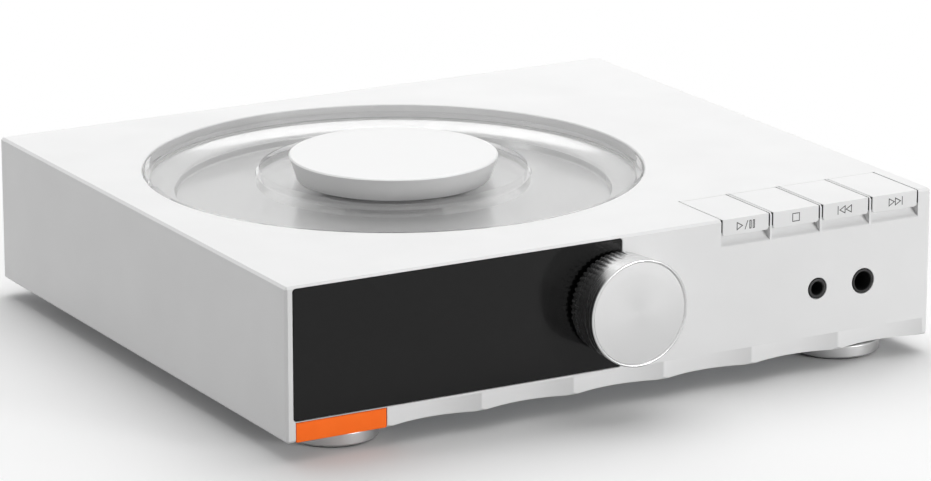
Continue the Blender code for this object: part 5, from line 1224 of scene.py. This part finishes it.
def build_rear_panel():
    """The zinc-plated rear panel with its openings."""
    low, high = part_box("rear_panel")
    panel = block("rear_plate", low, high, PANEL_EDGE_ROUND)
    profile = rod(LINE_BARREL_RADIUS + GAP, OVERRUN, low.y - high.y - OVERRUN)
    holes = [turned("line_hole", profile, (x, BACK_Y, z), TO_BACK) for x, z in line_places()]
    low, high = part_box("usb_socket")
    holes += [panel_window("optical_socket", GAP, GAP),
              panel_window("usb_socket", GAP, (high.z - low.z) / 2 + GAP - CONTACT_GAP),
              panel_window("mains_inlet", GAP - CONNECTOR_FLANGE, GAP),
              panel_window("switch_frame", GAP - CONNECTOR_FLANGE, GAP)]
    combined(panel, holes)
    finish_piece(panel, ZINC, "case", "zinc_sheet", "rear_panel")


def build_line_sockets():
    """Three line sockets: nickel barrels with coloured cores in a black block."""
    low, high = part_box("line_sockets")
    block_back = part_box("rear_panel")[0].y - GAP
    body = block("line_block", low, (high.x, block_back, high.z), SOCKET_BODY_ROUND)
    finish_piece(body, BLACK, "case", "black_plastic", "line_sockets")
    length = high.y - block_back
    cores = (WHITE_CORE, RED_CORE, BLACK)
    for number, ((x, z), look) in enumerate(zip(line_places(), cores), start=1):
        profile = tube(LINE_CORE_RADIUS, LINE_BARREL_RADIUS, 0, length)
        barrel = turned("line_barrel_%d" % number, profile, (x, block_back, z), TO_BACK, closed=True,
                        soft=PLATED_SOFT_EDGE)
        finish_piece(barrel, NICKEL, "case", "steel")
        top = length - LINE_CORE_RECESS
        core = [(0, CONTACT_GAP), (LINE_CORE_RADIUS - CONTACT_GAP, CONTACT_GAP),
                (LINE_CORE_RADIUS - CONTACT_GAP, top), (LINE_BORE_RADIUS, top),
                (LINE_BORE_RADIUS, LINE_BORE_END), (0, LINE_BORE_END)]
        core = turned("line_core_%d" % number, core, (x, block_back, z), TO_BACK, soft=MOULDED_SOFT_EDGE)
        finish_piece(core, look, "case", "black_plastic")


def build_digital_sockets():
    """The optical socket's square well and the oval usb shell with its tongue."""
    low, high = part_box("optical_socket")
    body = block("optical_body", low, high, OPTICAL_BODY_ROUND)
    middle, half = middle_of("optical_socket"), OPTICAL_OPENING / 2
    well = block("optical_well", (middle.x - half, high.y - OPTICAL_OPENING_DEPTH, middle.z - half),
                 (middle.x + half, high.y + OVERRUN, middle.z + half))
    combined(body, [well])
    finish_piece(body, BLACK, "case", "black_plastic", "optical_socket")
    low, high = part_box("usb_socket")
    corner = (high.z - low.z - USB_WALL) / 2
    shell = stacked("usb_shell", low, high, corner, ((low.y, 0), (high.y, 0)))
    levels = ((low.y + USB_WALL, -USB_WALL), (high.y + OVERRUN, -USB_WALL))
    combined(shell, [stacked("usb_mouth", low, high, corner, levels)])
    finish_piece(shell, STEEL, "case", "steel", "usb_socket")
    middle, start = middle_of("usb_socket"), low.y + USB_WALL + CONTACT_GAP
    half_width, half_height = USB_TONGUE_WIDTH / 2, USB_TONGUE_THICKNESS / 2
    tongue = block("usb_tongue", (middle.x - half_width, start, middle.z - half_height),
                   (middle.x + half_width, start + USB_TONGUE_LENGTH, middle.z + half_height),
                   MOULDED_SOFT_EDGE)
    finish_piece(tongue, BLACK, "case", "black_plastic")


def panel_moulding(name, node):
    """A flange outside the panel, its corners rounded, and the body that goes in through the panel."""
    low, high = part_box(node)
    flange_low, inset, edge = BACK_Y + GAP, CONNECTOR_FLANGE, FLANGE_CHAMFER
    moulding = stacked(name, low, high, FLANGE_CORNER,
                       ((flange_low, 0), (high.y - edge, 0), (high.y, -edge)))
    body = block("body", (low.x + inset, low.y, low.z + inset),
                 (high.x - inset, flange_low + GAP, high.z - inset))
    return combined(moulding, [body], "UNION")


def build_mains():
    """The two-pin mains inlet and the frame that the power rocker sits in."""
    inlet = panel_moulding("mains_inlet_moulding", "mains_inlet")
    middle, back = middle_of("mains_inlet"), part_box("mains_inlet")[1].y
    reach = Vector((INLET_MOUTH_WIDTH / 2, 0, INLET_MOUTH_HEIGHT / 2))
    floor = back - INLET_DEPTH
    combined(inlet, [stacked("inlet_mouth", middle - reach, middle + reach, reach.z - CONTACT_GAP,
                             ((floor, 0), (back + OVERRUN, 0)))])
    finish_piece(inlet, BLACK, "case", "black_plastic", "mains_inlet")
    for side, name in ((-1, "left"), (1, "right")):
        place = (middle.x + side * PIN_SPACING / 2, floor, middle.z)
        pin = turned("inlet_pin_" + name, rod(PIN_RADIUS, CONTACT_GAP, PIN_LENGTH), place, TO_BACK,
                     segments=FINE_SEGMENTS, soft=PIN_RADIUS / 2)
        finish_piece(pin, NICKEL, "case", "steel")
    switch = panel_moulding("switch_moulding", "switch_frame")
    low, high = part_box("switch_frame")
    wall = CONNECTOR_FLANGE + SWITCH_WALL
    combined(switch, [block("room", (low.x + wall, BACK_Y - SWITCH_ROOM_DEPTH, low.z + wall),
                            (high.x - wall, high.y + OVERRUN, high.z - wall))])
    finish_piece(switch, BLACK, "case", "black_plastic", "switch_frame")


def build_screws():
    """Cross-head screws into the posts, four in the rear panel and four under the bottom."""
    panel_y, base_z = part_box("rear_panel")[0].y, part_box("base_plate")[0].z
    x = CASE_HIGH.x - SIDE_THICKNESS - POST_SIZE / 2
    places = []
    for side in (-1, 1):
        for z in REAR_SCREW_HEIGHTS:
            places.append(((side * x, BACK_Y, z), TO_BACK))
        for y in (FRONT_Y + POST_FRONT_INSET + POST_SIZE / 2, panel_y - GAP - POST_SIZE / 2):
            places.append(((side * x, y, base_z), DOWNWARD))
    for number, (place, tilt) in enumerate(places, start=1):
        head = [(0, 0), (SCREW_RADIUS, 0), (SCREW_RADIUS, SCREW_HEIGHT / 2),
                (SCREW_CROWN_RADIUS, SCREW_HEIGHT), (0, SCREW_HEIGHT)]
        head = turned("panel_screw_%d" % number, head, (0, 0, 0), segments=FINE_SEGMENTS,
                      soft=SCREW_HEIGHT / 2)
        half, reach = SCREW_SLOT_WIDTH / 2, SCREW_SLOT_LENGTH / 2
        low, high = SCREW_HEIGHT - SCREW_SLOT_DEPTH, SCREW_HEIGHT + OVERRUN
        combined(head, [block("slot_a", (-reach, -half, low), (reach, half, high)),
                        block("slot_b", (-half, -reach, low), (half, reach, high))])
        head.location = place
        head.rotation_euler = (tilt, 0, 0)
        finish_piece(head, ZINC, "case", "steel")


# CAD nodes that keep their own shape

def dress_nodes():
    """Gives each node that stays its real finish."""
    looks = {
        ZINC: ("base_plate", "encoder_body", "key_bracket", "traverse_deck"),
        STEEL: ("encoder_shaft", "feed_motor", "guide_rod_left", "guide_rod_right", "key_rod",
                "spindle_motor"),
        BLACK: ("display_module", "encoder_push", "pickup_sled", "power_rocker", *KEY_STEMS),
        ACETAL: ("feed_gear", "feed_pinion"),
        RUBBER: DAMPERS,
        FERRITE: ("clamp_magnet",),
    }
    for look, names in looks.items():
        for name in names:
            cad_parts[name].material_slots[0].material = look
    for name in BOARDS:
        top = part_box(name)[0].z + BOARD_THICKNESS
        look = circuit_board("green_solder_mask_" + name, top)
        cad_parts[name].material_slots[0].material = look


# Studio

def build_studio():
    """A pale floor, three soft lamps, a plain pale world and the photograph's camera."""
    solid = bmesh.new()
    bmesh.ops.create_grid(solid, x_segments=1, y_segments=1, size=FLOOR_SIZE / 2)
    floor = as_object("studio_floor", solid)
    floor.data.materials.append(paper_floor())
    for name, place, size, watts in LAMPS:
        add_lamp(name, place, size, watts)
    build_world()
    camera = bpy.data.cameras.new("camera")
    camera.lens = CAMERA_LENS_MM
    camera.sensor_width = CAMERA_SENSOR_MM
    viewer = bpy.data.objects.new("camera", camera)
    viewer.location = CAMERA_PLACE
    viewer.rotation_euler = (math.pi / 2 - CAMERA_ELEVATION, 0, -CAMERA_AZIMUTH)
    bpy.context.scene.collection.objects.link(viewer)
    bpy.context.scene.camera = viewer
    bpy.context.scene.view_settings.view_transform = "Standard"


def add_lamp(name, place, size, watts):
    """A square soft lamp turned towards the player."""
    lamp = bpy.data.lights.new(name, "AREA")
    lamp.size = size
    lamp.energy = watts
    holder = bpy.data.objects.new(name, lamp)
    holder.location = place
    holder.rotation_euler = (-Vector(place)).to_track_quat("-Z", "Y").to_euler()
    bpy.context.scene.collection.objects.link(holder)


def build_world():
    """White where it is seen, mirrored or seen through the cover, and dimmer where it lights a surface."""
    world = bpy.data.worlds.new("studio")
    world.use_nodes = True
    bpy.context.scene.world = world
    ray = add_node(world, "LightPath")
    seen = add_node(world, "Math", None,
                    {0: seen_or_mirrored(world, ray), 1: ray.outputs["Is Transmission Ray"]},
                    operation="MAXIMUM")
    direct = add_node(world, "Math", {1: 1.0}, {0: ray.outputs["Diffuse Depth"]}, operation="LESS_THAN")
    seen = add_node(world, "Math", None, {0: seen.outputs["Value"], 1: direct.outputs["Value"]},
                    operation="MULTIPLY")
    strength = add_node(world, "MapRange", {"To Min": AMBIENT_STRENGTH, "To Max": BACKGROUND_STRENGTH},
                        {"Value": seen.outputs["Value"]})
    background = world.node_tree.nodes["Background"]
    background.inputs["Color"].default_value = linear("FFFFFF")
    world.node_tree.links.new(strength.outputs["Result"], background.inputs["Strength"])


build_studio()
build_case()
build_front_trim()
build_well()
build_cover()
build_puck()
build_clamp()
build_turntable()
build_lens()
build_knob()
for key_name in KEYS:
    build_key(key_name)
    build_key_gap_shade_strips(key_name)
    build_sign(key_name)
build_front_sockets()
build_feet()
build_rear_panel()
build_line_sockets()
build_digital_sockets()
build_mains()
build_screws()
dress_nodes()
